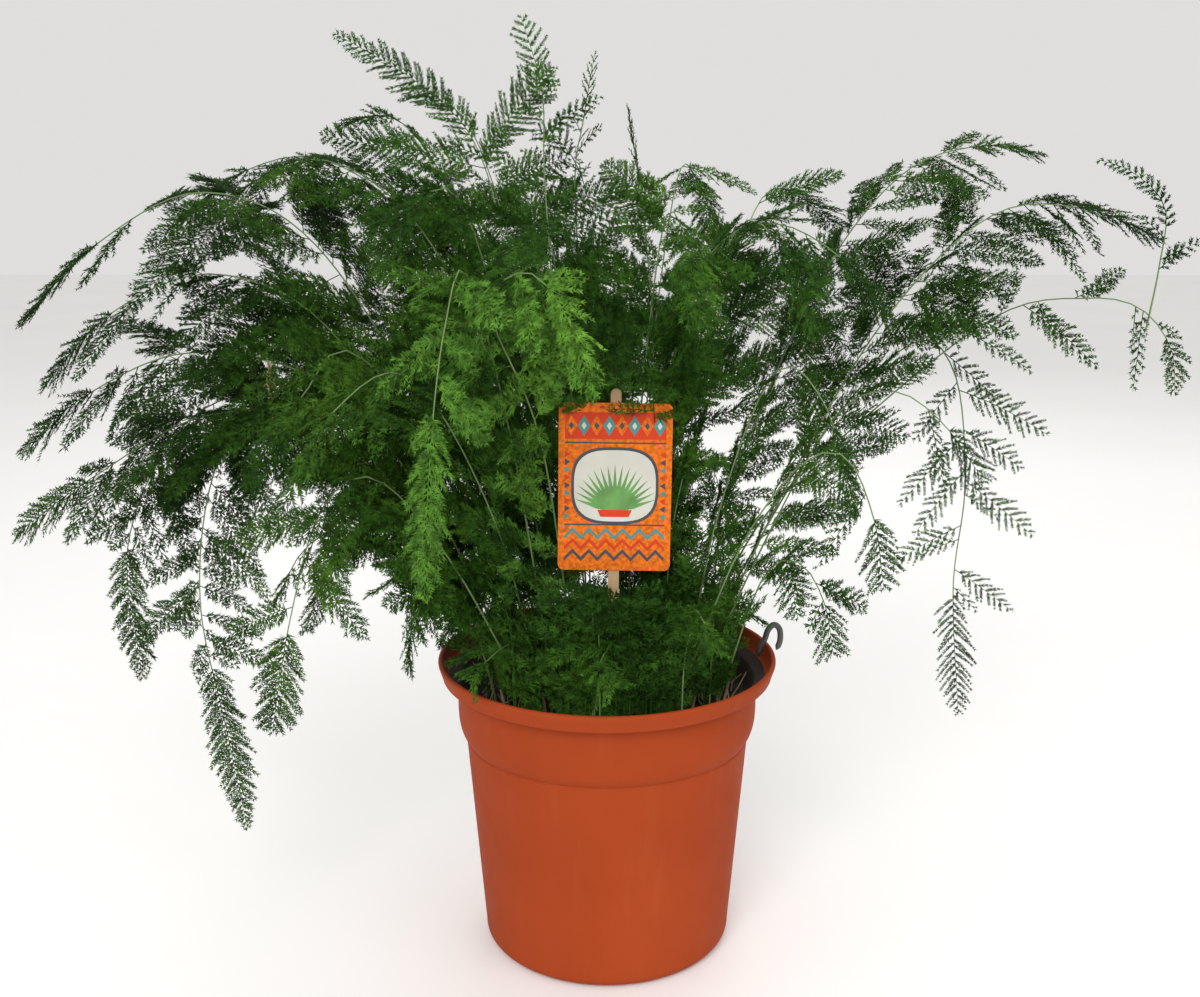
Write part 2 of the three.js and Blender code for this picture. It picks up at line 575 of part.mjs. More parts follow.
// A wire hook at the lip: it rises from inside the pot and loops over to its open end outside
function hookGeometry() {
  const points = [
    [RIM_RADIUS - 8.8, -9], [RIM_RADIUS - 6.4, -1.4], [RIM_RADIUS - 3.6, 4],
    [RIM_RADIUS - 1.4, 10.5], [RIM_RADIUS + 3, 14.2], [RIM_RADIUS + 7.2, 10.4],
    [RIM_RADIUS + 7.8, 2], [RIM_RADIUS + 5.4, -5],
  ].map(([radius, height]) => new THREE.Vector3(radius, 0, POT_HEIGHT + height));
  const path = new THREE.CatmullRomCurve3(points, false, "catmullrom", 0.5);
  const section = new THREE.Shape();
  section.absarc(0, 0, HOOK_RADIUS, 0, 2 * Math.PI);
  const hook = new THREE.ExtrudeGeometry(section, { steps: 14, curveSegments: 3, extrudePath: path });
  return hook.rotateZ(HOOK_ANGLE);
}

function mesh(name, solid, colour, roughness) {
  const material = new THREE.MeshStandardMaterial({ color: colour, roughness, metalness: 0 });
  const part = new THREE.Mesh(geometryOf(solid), material);
  part.name = name;
  return part;
}

const pot = potSolid();
const card = solidOf(cardGeometry().applyMatrix4(labelPlace));
const stake = solidOf(stakeGeometry().applyMatrix4(labelPlace));
const hook = solidOf(hookGeometry());
let soil = soilSolid().subtract(solidOf(stakeHole().applyMatrix4(labelPlace)));
[pot, card, stake, hook, solidOf(labelView())].forEach((solid) => place(solid, "fixed"));
const nodes = growAll();
nodes.forEach((node) => {
  soil = soil.subtract(rootHole(node.root[0], node.root[1]));
});

const fern = new THREE.Group();
fern.add(mesh("pot", pot, 0xb5502f, 0.45));
fern.add(mesh("potting_mix", soil, 0x2b1d15, 0.95));
fern.add(mesh("label_card", card, 0xe0641c, 0.5));
fern.add(mesh("label_stake", stake, 0xd9c69a, 0.7));
fern.add(mesh("rim_hook", hook, 0x3a3d40, 0.5));
nodes.forEach((node, i) => {
  const whole = node.parts.reduce((sum, part) => sum.add(part));
  fern.add(mesh(`stem_${String(i + 1).padStart(2, "0")}`, whole, 0x356b22, 0.6));
});

export default fern;
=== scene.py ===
# Potted lace fern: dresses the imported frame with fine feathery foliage, a moulded plastic pot,
# crumbly potting mix, a printed picture label and a rim hook. Shapes are worked out in the
# frame's millimetres and turned into metres when a mesh is made.

import math
import bpy
import numpy as np
from mathutils import Matrix, Vector, kdtree


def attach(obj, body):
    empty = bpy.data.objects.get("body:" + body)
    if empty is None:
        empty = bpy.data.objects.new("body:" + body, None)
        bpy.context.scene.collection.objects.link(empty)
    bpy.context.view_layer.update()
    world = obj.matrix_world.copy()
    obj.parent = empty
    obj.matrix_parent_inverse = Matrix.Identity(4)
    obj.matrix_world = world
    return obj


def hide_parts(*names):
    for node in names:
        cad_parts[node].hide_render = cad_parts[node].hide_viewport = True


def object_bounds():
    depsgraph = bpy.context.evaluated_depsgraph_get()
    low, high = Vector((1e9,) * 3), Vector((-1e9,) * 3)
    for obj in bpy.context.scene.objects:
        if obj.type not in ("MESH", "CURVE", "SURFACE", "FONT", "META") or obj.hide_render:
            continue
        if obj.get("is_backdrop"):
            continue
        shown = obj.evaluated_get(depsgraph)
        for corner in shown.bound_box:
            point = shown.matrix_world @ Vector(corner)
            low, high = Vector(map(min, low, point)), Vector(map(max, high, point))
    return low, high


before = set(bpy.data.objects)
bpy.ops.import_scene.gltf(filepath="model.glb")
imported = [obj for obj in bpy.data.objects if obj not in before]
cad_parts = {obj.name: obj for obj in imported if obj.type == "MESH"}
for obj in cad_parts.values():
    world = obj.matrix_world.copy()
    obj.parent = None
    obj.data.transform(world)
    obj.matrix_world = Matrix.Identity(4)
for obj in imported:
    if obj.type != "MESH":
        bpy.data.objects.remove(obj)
cad_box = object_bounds()

MM = 0.001

# Pot, as in the frame
POT_HEIGHT = 214
RIM_RADIUS = 120
BASE_RADIUS = 89.5
STEP_RADIUS = 101
STEP_HEIGHT = 156
BAND_RADIUS = 106.5
WALL = 2
BULGE_INSET = 2.8
CORNER = 9
DRAIN_COUNT = 6
DRAIN_RING = 60
DRAIN_RADIUS = 5
# Height of the lip's outer face, 2 less than in the frame
LIP_DROP = 12
POT_SEGMENTS = 160
SHARP_ANGLE = math.radians(40)

# Potting mix, as in the frame
GAP = 0.35
SOIL_EDGE_HEIGHT = 184
SOIL_CENTRE_HEIGHT = 188

# The top of the mix: lumps, crumbs, stubs of old stems and dry fibres. Here and below, a pair is
# the range of a random draw.
SOIL_SEED = 5
SOIL_RINGS = 46
SOIL_SEGMENTS = 150
LUMP_COUNT = 36
LUMP_HEIGHT = 0.2861
LUMP_SINK = 1.4
CRUMB_COUNT = 900
CRUMB_SIZES = (0.7, 2.4)
STUB_COUNT = 26
STUB_RING = (44, 86)
STUB_HEIGHTS = (12, 34)
STUB_RADII = (1.2, 1.0, 0.9)
FIBRE_COUNT = 130
FIBRE_RING = 95
FIBRE_LENGTHS = (6, 26)
FIBRE_RADII = (0.6, 0.5, 0.3)

# Stems and sprays, as in the frame
CROWN_HEIGHT = 192
STEM_STEP = 85
BARE_SHARE = 0.08
PATH_TRIES = 14
SPRAY_TRIES = 9
STEM_SEED = 4100
# How near a vertex of the frame has to be to a tip
FOUND_WITHIN = 0.2

# Materials of the foliage, by their place in its list. The third is a lighter green, painted light for
# fronds in full light.
STALK, GREEN, PAINTED_LIGHT_GREEN, DRY = range(4)

# Stems and ribs, finer than in the frame
STEM_RADIUS = 0.72
STEM_TIP_RADIUS = 0.4
STEM_SINK = 12
SHOOT_RADIUS = 0.7
SHOOT_TIP_RADIUS = 0.35
TUBE_PITCH = 11
RIB_PITCH = 9
RIB_RADIUS = 0.38
TIP_RIB_RADIUS = 0.42
SHOOT_RIB_RADIUS = 0.36
RIB_END_RADIUS = 0.16
SPRAY_END = 0.99
BARE_TIP_SHARE = 0.02
BARE_SHOOT_SHARE = 0.05

# Branchlets and needles
BRANCHLET_PITCH = 3.6
BRANCHLET_RADIUS = 0.32
BRANCHLET_SIZES = (0.72, 1.14)
BRANCHLET_SHORTEST = 2.4
BRANCHLET_LEANS = (0.6, 1.05)
BRANCHLET_LIFT = 0.13
BRANCHLET_CURL = 0.16
BRANCHLET_SAGS = (0.02, 0.14)
NEEDLE_PITCH = 1.35
NEEDLE_LENGTH = 5.6
NEEDLE_WIDTH = 1.1
NEEDLE_SIZES = (0.7, 1.15)
NEEDLE_TAPER = 0.55
NEEDLE_FANS = (0.3, 0.8)
NEEDLE_TILT = 0.32
NEEDLE_ROLLS = (-0.9, 0.9)
# How much slimmer a spray grows at its tip, and the share of a branchlet that bears needles
TIP_TAPER = 0.45
NEEDLE_STOP = 0.88

# Sprays added between and below the frame's: their pitch along the stem, where they begin, and
# their angles in degrees
EXTRA_PITCH = 13.5
LUSH_PITCH = 7.5
THIN_PITCH = 26
LOWEST_SPRAY = 0.1
EXTRA_BELOW = 0.34
THIN_BELOW = 0.04
EXTRA_SIZES = (0.5, 0.95)
EXTRA_WIDTHS = (0.8, 1.1)
EXTRA_TAPER = 0.55
LOW_TAPER = 0.9
EXTRA_ANGLES = (32, 66)
FILL_ANGLE = 22
EXTRA_DROOP = -4
LUSH_DROOP = -14
EXTRA_LIFT = 13
EXTRA_TWIST = 14
EXTRA_SAGS = (0.02, 0.18)

# The withered sprig: curled strands that drop by steps
STRAND_COUNT = 3
STRAND_STEPS = 9
STRAND_DROP = (0, 0, -5.2)
STRAND_CURL = 1.3
STRAND_RADII = (0.5, 0.9)
CURL_LENGTH = 2.6
CURL_DROP = (0, 0, -2.4)
CURL_RADIUS = 0.55

# Young shoots: some all round, some at the front, some tall ones at the right. Every fourth at
# the front stands near the middle. Turns are in radians, but those at the right and the rolls
# are in degrees.
SHOOT_SEED = 11
SHOOT_COUNT = 64
SHOOT_TURN = 2.4
SHOOT_RING = (26, 86)
SHOOT_HEIGHTS = (46, 96)
FRONT_COUNT = 32
FRONT_TURN = 0.75
MIDDLE_TURN = 0.16
FRONT_RING = (91, 98)
FRONT_HEIGHTS = (80, 113)
RIGHT_COUNT = 22
RIGHT_TURNS = (-60, 50)
RIGHT_RING = (40, 84)
RIGHT_HEIGHTS = (110, 205)
SHOOT_LEANS = (0.04, 0.24)
SHOOT_ROLLS = (-40, 40)
SHOOT_SHARE = (0.12, 0.86)
SHOOT_SPRAY = 40
SHOOT_REACH = 15
LUSH_HEIGHT = 150
GREEN_SHARE = 0.7

# Space that the added sprays leave open, in front of the label but for the top of its card, up
# along the slope at which the camera looks down on it, and round the pot's lip
LABEL_MARGIN = 1
LABEL_COVERED = 16
LABEL_OPEN_DEPTH = 170
VIEW_RISE = 0.17
LIP_MARGIN = 4

# Label and stake, as in the frame
CARD_WIDTH = 72
CARD_HEIGHT = 108
CARD_THICKNESS = 0.8
CARD_CORNER = 4
CARD_CENTRE = (5, -80, 354)
CARD_LEAN = 0.014
CARD_TIP_BACK = 0.06
STAKE_WIDTH = 7
STAKE_THICKNESS = 1.6
STAKE_ABOVE_CARD = 9
STAKE_DEPTH = 22
STAKE_POINT = 8
# How far the stake's edges are softened
STAKE_BEVEL = 0.3
# The print: how far it keeps from the card's edge, how thick it lies and how deep it begins
PRINT_MARGIN = 4
INK = 0.05
INK_SINK = 0.02

# Rim hook, a little thicker than in the frame: its points are (distance past the lip's edge,
# height over it)
HOOK_RADIUS = 2.16
HOOK_ANGLE = 0.16
HOOK_POINTS = [(-8.8, -9), (-6.4, -1.4), (-3.6, 4), (-1.4, 10.5), (3, 14.2), (7.2, 10.4),
               (7.8, 2), (5.4, -5)]

# Camera, in metres and radians, at the photograph's viewing angle, and the floor and lights
IMAGE_WIDTH = 1200
FOCAL_PIXELS = 1405
SHIFT_PIXELS = -7
CAMERA_PLACE = (0, -0.951, 0.558)
CAMERA_PITCH = 0.238
FLOOR_SIZE = 12
FLOOR_DROP = 0.0005
SKY_COLOUR = (1.0, 0.99, 0.975, 1)
SKY_STRENGTH = 0.74
LIGHT_AIM = (0, 0, 0.3)
LIGHTS = [("key", (-0.5, -2.1, 1.6), 1.3, 40), ("fill", (1.5, -1.4, 1.2), 1.6, 8),
          ("back", (0.3, 1.6, 1.8), 1.6, 12)]


def frond(path, share, roll, sprays, long, wide, **more):
    """A stem's plan. path: the points that it passes from the crown to its tip; share: where its
    sprays begin and end; roll: how far, in degrees, its sprays turn round it out of the level,
    at its root and at its tip; sprays: how many the frame has; long, wide: the length of the
    largest and the reach of its branchlets.

    branch: the share of the stem before it that it grows out of, where it has no root of its
    own; thin, lush: with open or dense foliage; wisp: how much fewer and shorter its needles
    are; bright: a lighter green, painted light for a frond in full light; fill: the length of its
    added sprays, where they are longer; filled_to: the share where they stop; withered: where a dry
    sprig hangs from it."""
    return dict(path=path, share=share, roll=roll, sprays=sprays, long=long, wide=wide, **more)


# Stems set one by one
PLACED_STEMS = [
    # right: a long bare stem whose end hangs in small sprays, and the sprig that rises from it
    frond([[55, 12], [107, 2, 309], [180, 0, 387], [265, 0, 455], [321, -10, 467], [356, -10, 460],
          [378, -12, 434], [383, -14, 402]], (0.6, 0.92), (70, 80), 4, 62, 15, thin=True, wisp=1.2),
    frond([[369, -2, 487], [370, 0, 526], [346, 0, 549], [322, 0, 557]], (0.3, 0.5), (80, 85), 2, 26, 9,
          branch=0.89, thin=True, wisp=1.3),
    # right: a thin stem that hangs straight down beside the pot
    frond([[62, 38], [150, 32, 360], [212, 26, 432], [242, 20, 412], [254, 20, 333], [250, 20, 256],
          [259, 18, 157]], (0.56, 0.84), (90, 90), 5, 78, 22, thin=True, wisp=1.5),
    # right: layered fronds above
    frond([[44, 36], [92, 52, 330], [150, 58, 470], [205, 60, 545], [260, 60, 566], [306, 60, 560]],
          (0.52, 0.9), (12, 20), 5, 98, 24, lush=True),
    frond([[62, -8], [122, 0, 330], [190, 12, 450], [262, 22, 520], [325, 16, 524], [373, 2, 503]],
          (0.5, 0.88), (10, 25), 5, 100, 26, lush=True),
    frond([[60, -26], [112, -40, 320], [150, -50, 396], [184, -56, 412], [216, -60, 392],
          [246, -62, 352]], (0.5, 0.88), (8, 40), 4, 84, 26, thin=True, wisp=1.25, filled_to=0.7),
    frond([[48, -44], [84, -80, 310], [118, -104, 372], [144, -116, 382], [162, -122, 346],
          [171, -122, 298]], (0.5, 0.86), (0, 50), 4, 74, 24, thin=True, wisp=1.25, filled_to=0.66),
    # left: long fronds, one above the other
    frond([[-30, -6], [-62, -4, 370], [-110, -2, 490], [-158, 4, 544], [-206, 8, 556], [-258, 8, 528]],
          (0.46, 0.86), (-14, -25), 5, 96, 27, lush=True),
    frond([[-46, 34], [-84, 44, 360], [-136, 54, 505], [-196, 60, 556], [-256, 60, 548],
          [-312, 58, 506]], (0.46, 0.86), (-10, -25), 5, 100, 28, lush=True, filled_to=0.7),
    frond([[-60, 6], [-112, 0, 350], [-184, -8, 492], [-262, -14, 540], [-338, -18, 504],
          [-396, -20, 446]], (0.46, 0.86), (-12, -20), 5, 108, 28, lush=True, fill=130, filled_to=0.72),
    frond([[-68, -8], [-120, -26, 340], [-182, -40, 452], [-250, -48, 486], [-316, -50, 462],
          [-368, -48, 412]], (0.46, 0.86), (-8, -25), 5, 100, 28, lush=True, filled_to=0.76),
    frond([[-56, -34], [-112, -46, 326], [-182, -56, 416], [-262, -64, 438], [-330, -66, 412],
          [-380, -64, 372]], (0.46, 0.86), (-8, -25), 5, 104, 28, lush=True, withered=0.62,
          filled_to=0.84),
    frond([[-64, -18], [-124, -22, 316], [-190, -28, 384], [-266, -36, 392], [-344, -40, 350],
          [-399, -40, 311]], (0.48, 0.86), (-5, -35), 5, 98, 28, lush=True),
    # left: hanging bunches
    frond([[-68, 22], [-128, 10, 330], [-190, -4, 404], [-240, -10, 394], [-270, -18, 342],
          [-280, -28, 260], [-268, -30, 172], [-257, -30, 90]], (0.5, 0.8), (-30, -90), 5, 76, 22,
          lush=True),
    frond([[-70, -2], [-142, 4, 330], [-215, 8, 396], [-286, 2, 384], [-332, -10, 300],
          [-329, -14, 198]], (0.52, 0.82), (-20, -80), 4, 80, 24, lush=True),
    frond([[-50, -52], [-102, -78, 306], [-146, -90, 362], [-180, -94, 342], [-204, -92, 268],
          [-221, -88, 188]], (0.5, 0.82), (-20, -80), 4, 76, 25, lush=True, filled_to=0.64),
    # low fronds that hang over the lip, two at the left and one at the right
    frond([[-78, -30], [-98, -54, 286], [-114, -76, 304], [-124, -94, 278], [-127, -104, 238]],
          (0.42, 0.84), (0, 40), 3, 66, 24, lush=True),
    frond([[-84, 6], [-128, 0, 296], [-166, -8, 312], [-194, -16, 280], [-208, -20, 236]], (0.42, 0.84),
          (0, 40), 3, 56, 22, lush=True),
    frond([[78, -34], [103, -54, 284], [124, -70, 302], [140, -82, 280], [147, -90, 244]], (0.42, 0.84),
          (0, 40), 3, 62, 24, wisp=1.2),
    # top: upright fronds
    frond([[-26, 26], [-50, 22, 350], [-68, 16, 490], [-88, 20, 566], [-126, 30, 606], [-184, 34, 640]],
          (0.5, 0.76), (-60, -60), 4, 66, 22, fill=120, wisp=1.2),
    frond([[-8, 18], [-28, 10, 360], [-41, 8, 534], [-43, 18, 599], [-57, 20, 650]], (0.55, 0.88),
          (-80, -80), 4, 66, 18, wisp=1.45),
    frond([[10, 36], [-8, 42, 350], [-22, 46, 527], [-16, 54, 585], [-8, 60, 630]], (0.6, 0.9),
          (80, 80), 3, 46, 15, wisp=1.6),
    frond([[26, 52], [34, 66, 400], [26, 78, 520], [14, 84, 596]], (0.55, 0.86), (80, 70), 4, 62, 19,
          thin=True, wisp=1.35),
    # front right of the top: a frond that arches over the label's side
    frond([[18, -34], [34, -44, 370], [58, -52, 486], [98, -62, 518], [142, -70, 500], [180, -74, 456]],
          (0.5, 0.88), (5, 20), 4, 92, 28),
    # front left: pale stems that arch forward, with bright hanging fronds
    frond([[-34, -56], [-58, -96, 380], [-80, -138, 492], [-90, -172, 466], [-98, -192, 396],
          [-103, -198, 314]], (0.5, 0.8), (0, 5), 5, 66, 24, bright=True),
    frond([[-18, -50], [-40, -92, 380], [-66, -142, 470], [-46, -172, 497], [-24, -186, 478],
          [-6, -194, 428]], (0.5, 0.84), (0, 60), 4, 66, 24, bright=True),
]

# Tall young shoots: three at the top, one below the left arch, one over the label's top edge
HIGH_SHOOTS = [
    frond([[-30, 20], [-70, 24, 400], [-106, 30, 530], [-142, 34, 583], [-184, 38, 580]], (0.68, 0.92),
          (0, -20), 0, 72, 22, lush=True),
    frond([[-14, 30], [-46, 38, 400], [-76, 46, 530], [-102, 52, 588], [-140, 58, 604]], (0.68, 0.92),
          (-30, -30), 0, 66, 20, wisp=1.2),
    frond([[12, 24], [4, 28, 400], [-10, 34, 516], [-26, 40, 562], [-50, 46, 578]], (0.7, 0.92),
          (-40, -40), 0, 56, 18, wisp=1.4),
    frond([[-62, -24], [-112, -58, 284], [-158, -76, 326], [-192, -82, 316], [-214, -84, 280]],
          (0.62, 0.92), (0, 30), 0, 58, 21, lush=True),
    frond([[28, -30], [32, -62, 330], [26, -88, 430], [6, -99, 442], [-16, -106, 420]], (0.72, 0.9),
          (20, 40), 0, 52, 18, lush=True),
]

# Rings of stems round the whole crown: how many, the part of the round that the ring takes in
# degrees, reach of the tips, height of the arch and of the tips, radius of the ring that they
# rise from, and their sprays
RING_KEYS = ("count", "start", "stop", "reach", "arch", "tip", "root", "sprays", "long", "wide")
RINGS = [dict(zip(RING_KEYS, values)) for values in (
    (5, 52, 152, 322, 452, 356, 68, 4, 104, 31),
    (4, 18, 162, 236, 548, 484, 44, 4, 98, 29),
    (2, 208, 232, 278, 440, 352, 66, 4, 96, 28),
    (1, 314, 326, 190, 430, 350, 66, 3, 74, 23),
    (4, 196, 344, 178, 526, 470, 36, 4, 94, 28),
    (2, 30, 150, 204, 330, 262, 74, 3, 58, 22),
    (5, 175, 365, 118, 262, 243, 66, 2, 50, 21),
)]
# Stems of the rings that point this far to the right, as a cosine, have open foliage.
THIN_SIDE = 0.4

MASK = 0xFFFFFFFF


def draws_from(seed):
    """Repeatable draws between 0 and 1, the same as the frame's."""
    state = seed

    def draw():
        nonlocal state
        state = (state + 0x6D2B79F5) & MASK
        mixed = ((state ^ (state >> 15)) * (1 | state)) & MASK
        turned = ((mixed ^ (mixed >> 7)) * (61 | mixed)) & MASK
        mixed = ((mixed + turned) & MASK) ^ mixed
        return ((mixed ^ (mixed >> 14)) & MASK) / 4294967296

    return draw


def spread(draw, size):
    """A draw from -size to size."""
    return (2 * draw() - 1) * size


def unit(vectors):
    return vectors / np.linalg.norm(vectors, axis=-1, keepdims=True)


class Curve:
    """A smooth curve through points, read by share of its length."""

    def __init__(self, points):
        points = np.array(points, float)
        self.count = len(points) - 1
        first = 2 * points[0] - points[1]
        last = 2 * points[-1] - points[-2]
        self.padded = np.vstack([first, points, last])
        self.knots = np.linspace(0, 1, 201)
        steps = np.linalg.norm(np.diff(self.at_knot(self.knots), axis=0), axis=1)
        self.lengths = np.concatenate([[0], np.cumsum(steps)])
        self.length = self.lengths[-1]

    def at_knot(self, knot):
        place = np.clip(knot, 0, 1) * self.count
        start = np.minimum(np.floor(place), self.count - 1).astype(int)
        w = (place - start)[..., None]
        a, b, c, d = (self.padded[start + k] for k in range(4))
        out, back = 0.5 * (c - a), 0.5 * (d - b)
        return b + out * w + (3 * (c - b) - 2 * out - back) * w**2 + (2 * (b - c) + out + back) * w**3

    def knot_of(self, share):
        return np.interp(np.asarray(share, float) * self.length, self.lengths, self.knots)

    def point(self, share):
        return self.at_knot(self.knot_of(share))

    def along(self, share):
        knot = self.knot_of(share)
        return unit(self.at_knot(knot + 0.0001) - self.at_knot(knot - 0.0001))


LABEL_PLACE = (
    Matrix.Translation(Vector(CARD_CENTRE))
    @ Matrix.Rotation(CARD_LEAN, 4, "Y")
    @ Matrix.Rotation(math.pi / 2 - CARD_TIP_BACK, 4, "X")
)
LABEL_INWARD = LABEL_PLACE.inverted()


class Stem:
    """A stem's curve, with the directions that its sprays follow, as the frame has it."""

    def __init__(self, plan, path):
        self.plan = plan
        points = [[*point, CROWN_HEIGHT] if len(point) == 2 else point for point in path]
        self.curve = Curve(points)
        self.length = self.curve.length
        heading = unit(np.array([points[-1][0] - points[0][0], points[-1][1] - points[0][1], 0.0]))
        self.level = np.array([-heading[1], heading[0], 0.0])
        end = plan["share"][1]
        steps = max(3, math.floor(self.length * end / STEM_STEP + 0.5))
        self.joints = self.curve.point(end * np.arange(steps + 1) / steps)
        self.sprays = []

    def directions(self, share):
        """Along the stem, across the frond and out of its plane."""
        share = np.asarray(share, float)
        along = self.curve.along(share)
        up = unit(np.cross(along, self.level))
        side = np.cross(up, along)
        start, stop = self.plan["roll"]
        roll = np.radians(start + (stop - start) * share)[..., None]
        across = side * np.cos(roll) + up * np.sin(roll)
        return along, across, np.cross(along, across)

    def line(self, thick, thin, least):
        """Points along the stem up to its last spray, at least so many, and its radii there."""
        end = self.plan["share"][1]
        count = max(least, int(self.length * end / TUBE_PITCH))
        return self.curve.point(np.linspace(0, end, count)), np.linspace(thick, thin, count)

    def tube_point(self, share):
        """The point at a share of the curve on the straight stretches of the frame's stem."""
        steps = len(self.joints) - 1
        place = min(share / self.plan["share"][1] * steps, steps - 1e-9)
        joint = int(place)
        return self.joints[joint] + (self.joints[joint + 1] - self.joints[joint]) * (place - joint)


def bent_path(path, attempt, draw):
    """A stem's path for one attempt, as the frame bends it clear of the stems before it."""
    bent = []
    for i, point in enumerate(path):
        size = 0 if attempt == 0 else 3 + (0 if i == 0 else 2 * attempt)
        bend = [spread(draw, size), spread(draw, size), spread(draw, 0 if i == 0 else size)]
        bent.append([value + move for value, move in zip(point, bend)])
    return bent


def ring_plans():
    """The stems of the rings, by the frame's rule."""
    plans = []
    for level, ring in enumerate(RINGS):
        for i in range(ring["count"]):
            draw = draws_from(STEM_SEED + 100 * level + i)
            turn = ring["start"] + (ring["stop"] - ring["start"]) * (i + 0.5) / ring["count"]
            angle = math.radians(turn + spread(draw, 6))
            reach = ring["reach"] * (1 + spread(draw, 0.07))
            arch = ring["arch"] + spread(draw, 16)
            tip = ring["tip"] + spread(draw, 20)
            root = ring["root"] * (1 + spread(draw, 0.1))
            rise = arch - CROWN_HEIGHT
            stops = [
                (root, CROWN_HEIGHT),
                (root + 0.2 * (reach - root), CROWN_HEIGHT + 0.55 * rise),
                (root + 0.52 * (reach - root), arch - 0.03 * rise),
                (root + 0.8 * (reach - root), arch - 0.25 * (arch - tip)),
                (reach, tip),
            ]
            path = [[r * math.cos(angle), r * math.sin(angle), z] for r, z in stops]
            roll = (spread(draw, 12), spread(draw, 30))
            plans.append(frond(path, (0.42, 0.84), roll, ring["sprays"], ring["long"], ring["wide"],
                               thin=math.cos(angle) > THIN_SIDE))
    return plans


def vertex_finder(node):
    """A quick test of whether the frame's node has a vertex at a point, in millimetres."""
    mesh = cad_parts[node].data
    tree = kdtree.KDTree(len(mesh.vertices))
    for i, vertex in enumerate(mesh.vertices):
        tree.insert(vertex.co / MM, i)
    tree.balance()
    return lambda point: tree.find(Vector(point))[2] < FOUND_WITHIN


def leaflet_share(share):
    """How long the branchlets are at a share of a spray: widest near the first third."""
    share = np.clip(share, 0, 1)
    return (1 - share) ** 0.7 * (0.62 + 1.5 * share)


class Spray:
    """A side spray: it leaves the stem forward and to one side, and sags towards its tip."""

    def __init__(self, stem, share, way, open_, lift, twist, length, width, sag):
        along, across, up = stem.directions(share)
        out = along * math.cos(open_) + across * way * math.sin(open_)
        self.out = unit(out * math.cos(lift) + up * math.sin(lift))
        flat = unit(np.cross(up, self.out))
        self.flat = flat * math.cos(twist) + np.cross(self.out, flat) * math.sin(twist)
        self.length = length
        self.width = width
        self.sag = sag
        smooth = stem.curve.point(share)
        self.root = stem.tube_point(share) if share < stem.plan["share"][1] else smooth
        self.shift = smooth - self.root

    def rib(self, part):
        part = np.asarray(part, float)[..., None]
        points = self.root + self.out * self.length * part + self.shift * (1 - part)
        return points - np.array([0, 0, 1.0]) * self.sag * self.length * part**2

    def directions(self, part):
        step = 0.01
        along = unit(self.rib(np.asarray(part) + step) - self.rib(np.asarray(part) - step))
        across = np.broadcast_to(self.flat, along.shape)
        return along, across, np.cross(along, across)

    def reach(self, part):
        return self.width * leaflet_share((part - BARE_SHARE) / (1 - BARE_SHARE))


class TipSpray:
    """The spray that carries the stem on to its tip."""

    def __init__(self, stem):
        self.stem = stem
        self.start = stem.plan["share"][1] - 2 / stem.length
        self.length = stem.length * (1 - self.start)

    def share(self, part):
        return self.start + (1 - self.start) * np.asarray(part, float)

    def rib(self, part):
        return self.stem.curve.point(self.share(part))

    def directions(self, part):
        return self.stem.directions(np.minimum(self.share(part), 1))

    def reach(self, part):
        return 1.15 * self.stem.plan["wide"] * leaflet_share(part)


def frame_spray(stem, place, attempt, draw):
    """The side spray for one attempt, by the frame's rule."""
    plan = stem.plan
    start, end = plan["share"]
    share = start + (end - start) * (place + 0.4) / plan["sprays"]
    way = 1 if place % 2 == 0 else -1
    loose = 10 + 6 * attempt
    open_ = math.radians(54 + spread(draw, 8 + 2 * attempt))
    lift = math.radians(spread(draw, loose))
    twist = math.radians(spread(draw, loose))
    length = plan["long"] * (1 - 0.45 * place / plan["sprays"]) * (0.85 + 0.3 * draw())
    length *= 1 - 0.05 * attempt
    sag = 0.04 + 0.14 * draw()
    width = plan["wide"] * length / plan["long"]
    return Spray(stem, share, way, open_, lift, twist, length, width, sag)


def frame_sprays(stem, seed, found):
    """The side sprays that took in the frame, and the spray at the tip."""
    sprays = []
    for place in range(stem.plan["sprays"]):
        for attempt in range(SPRAY_TRIES):
            draw = draws_from(seed + 20 * (place + 1) + attempt)
            spray = frame_spray(stem, place, attempt, draw)
            if found(spray.rib(1.0)):
                sprays.append(spray)
                break
    return [*sprays, TipSpray(stem)]


def grow_frame_stems():
    """The stems that took root in the frame, by node: each attempt is repeated in turn, and the
    one whose tip the frame's node holds is the one that was kept."""
    grown = {}
    node = 0
    for number, plan in enumerate([*PLACED_STEMS, *ring_plans()]):
        if "branch" not in plan:
            node += 1
        name = f"stem_{node:02d}"
        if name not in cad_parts:
            break
        found = vertex_finder(name)
        seed = STEM_SEED + 1000 * number
        for attempt in range(PATH_TRIES):
            path = bent_path(plan["path"], attempt, draws_from(seed + attempt))
            if "branch" in plan:
                path.insert(0, list(grown[name][0].tube_point(plan["branch"])))
            if found(path[-1]):
                stem = Stem(plan, path)
                stem.sprays = frame_sprays(stem, seed, found)
                grown.setdefault(name, []).append(stem)
                break
        else:
            if "branch" not in plan:
                node -= 1
    return grown


def wall_faces(rows, sides):
    """Triangles of a tube's wall, between rows of as many points as it has sides."""
    start = (np.arange(rows - 1) * sides)[:, None]
    k = np.arange(sides)
    a, b = start + k, start + (k + 1) % sides
    return np.stack([a, b, b + sides, a, b + sides, a + sides], -1).reshape(-1, 3)


def closed_faces(rows, sides):
    """The wall, with a flat cap over each end."""
    fan = np.arange(1, sides - 1)
    root = np.stack([0 * fan, fan + 1, fan], -1)
    return np.concatenate([wall_faces(rows, sides), root, root[:, [0, 2, 1]] + (rows - 1) * sides])


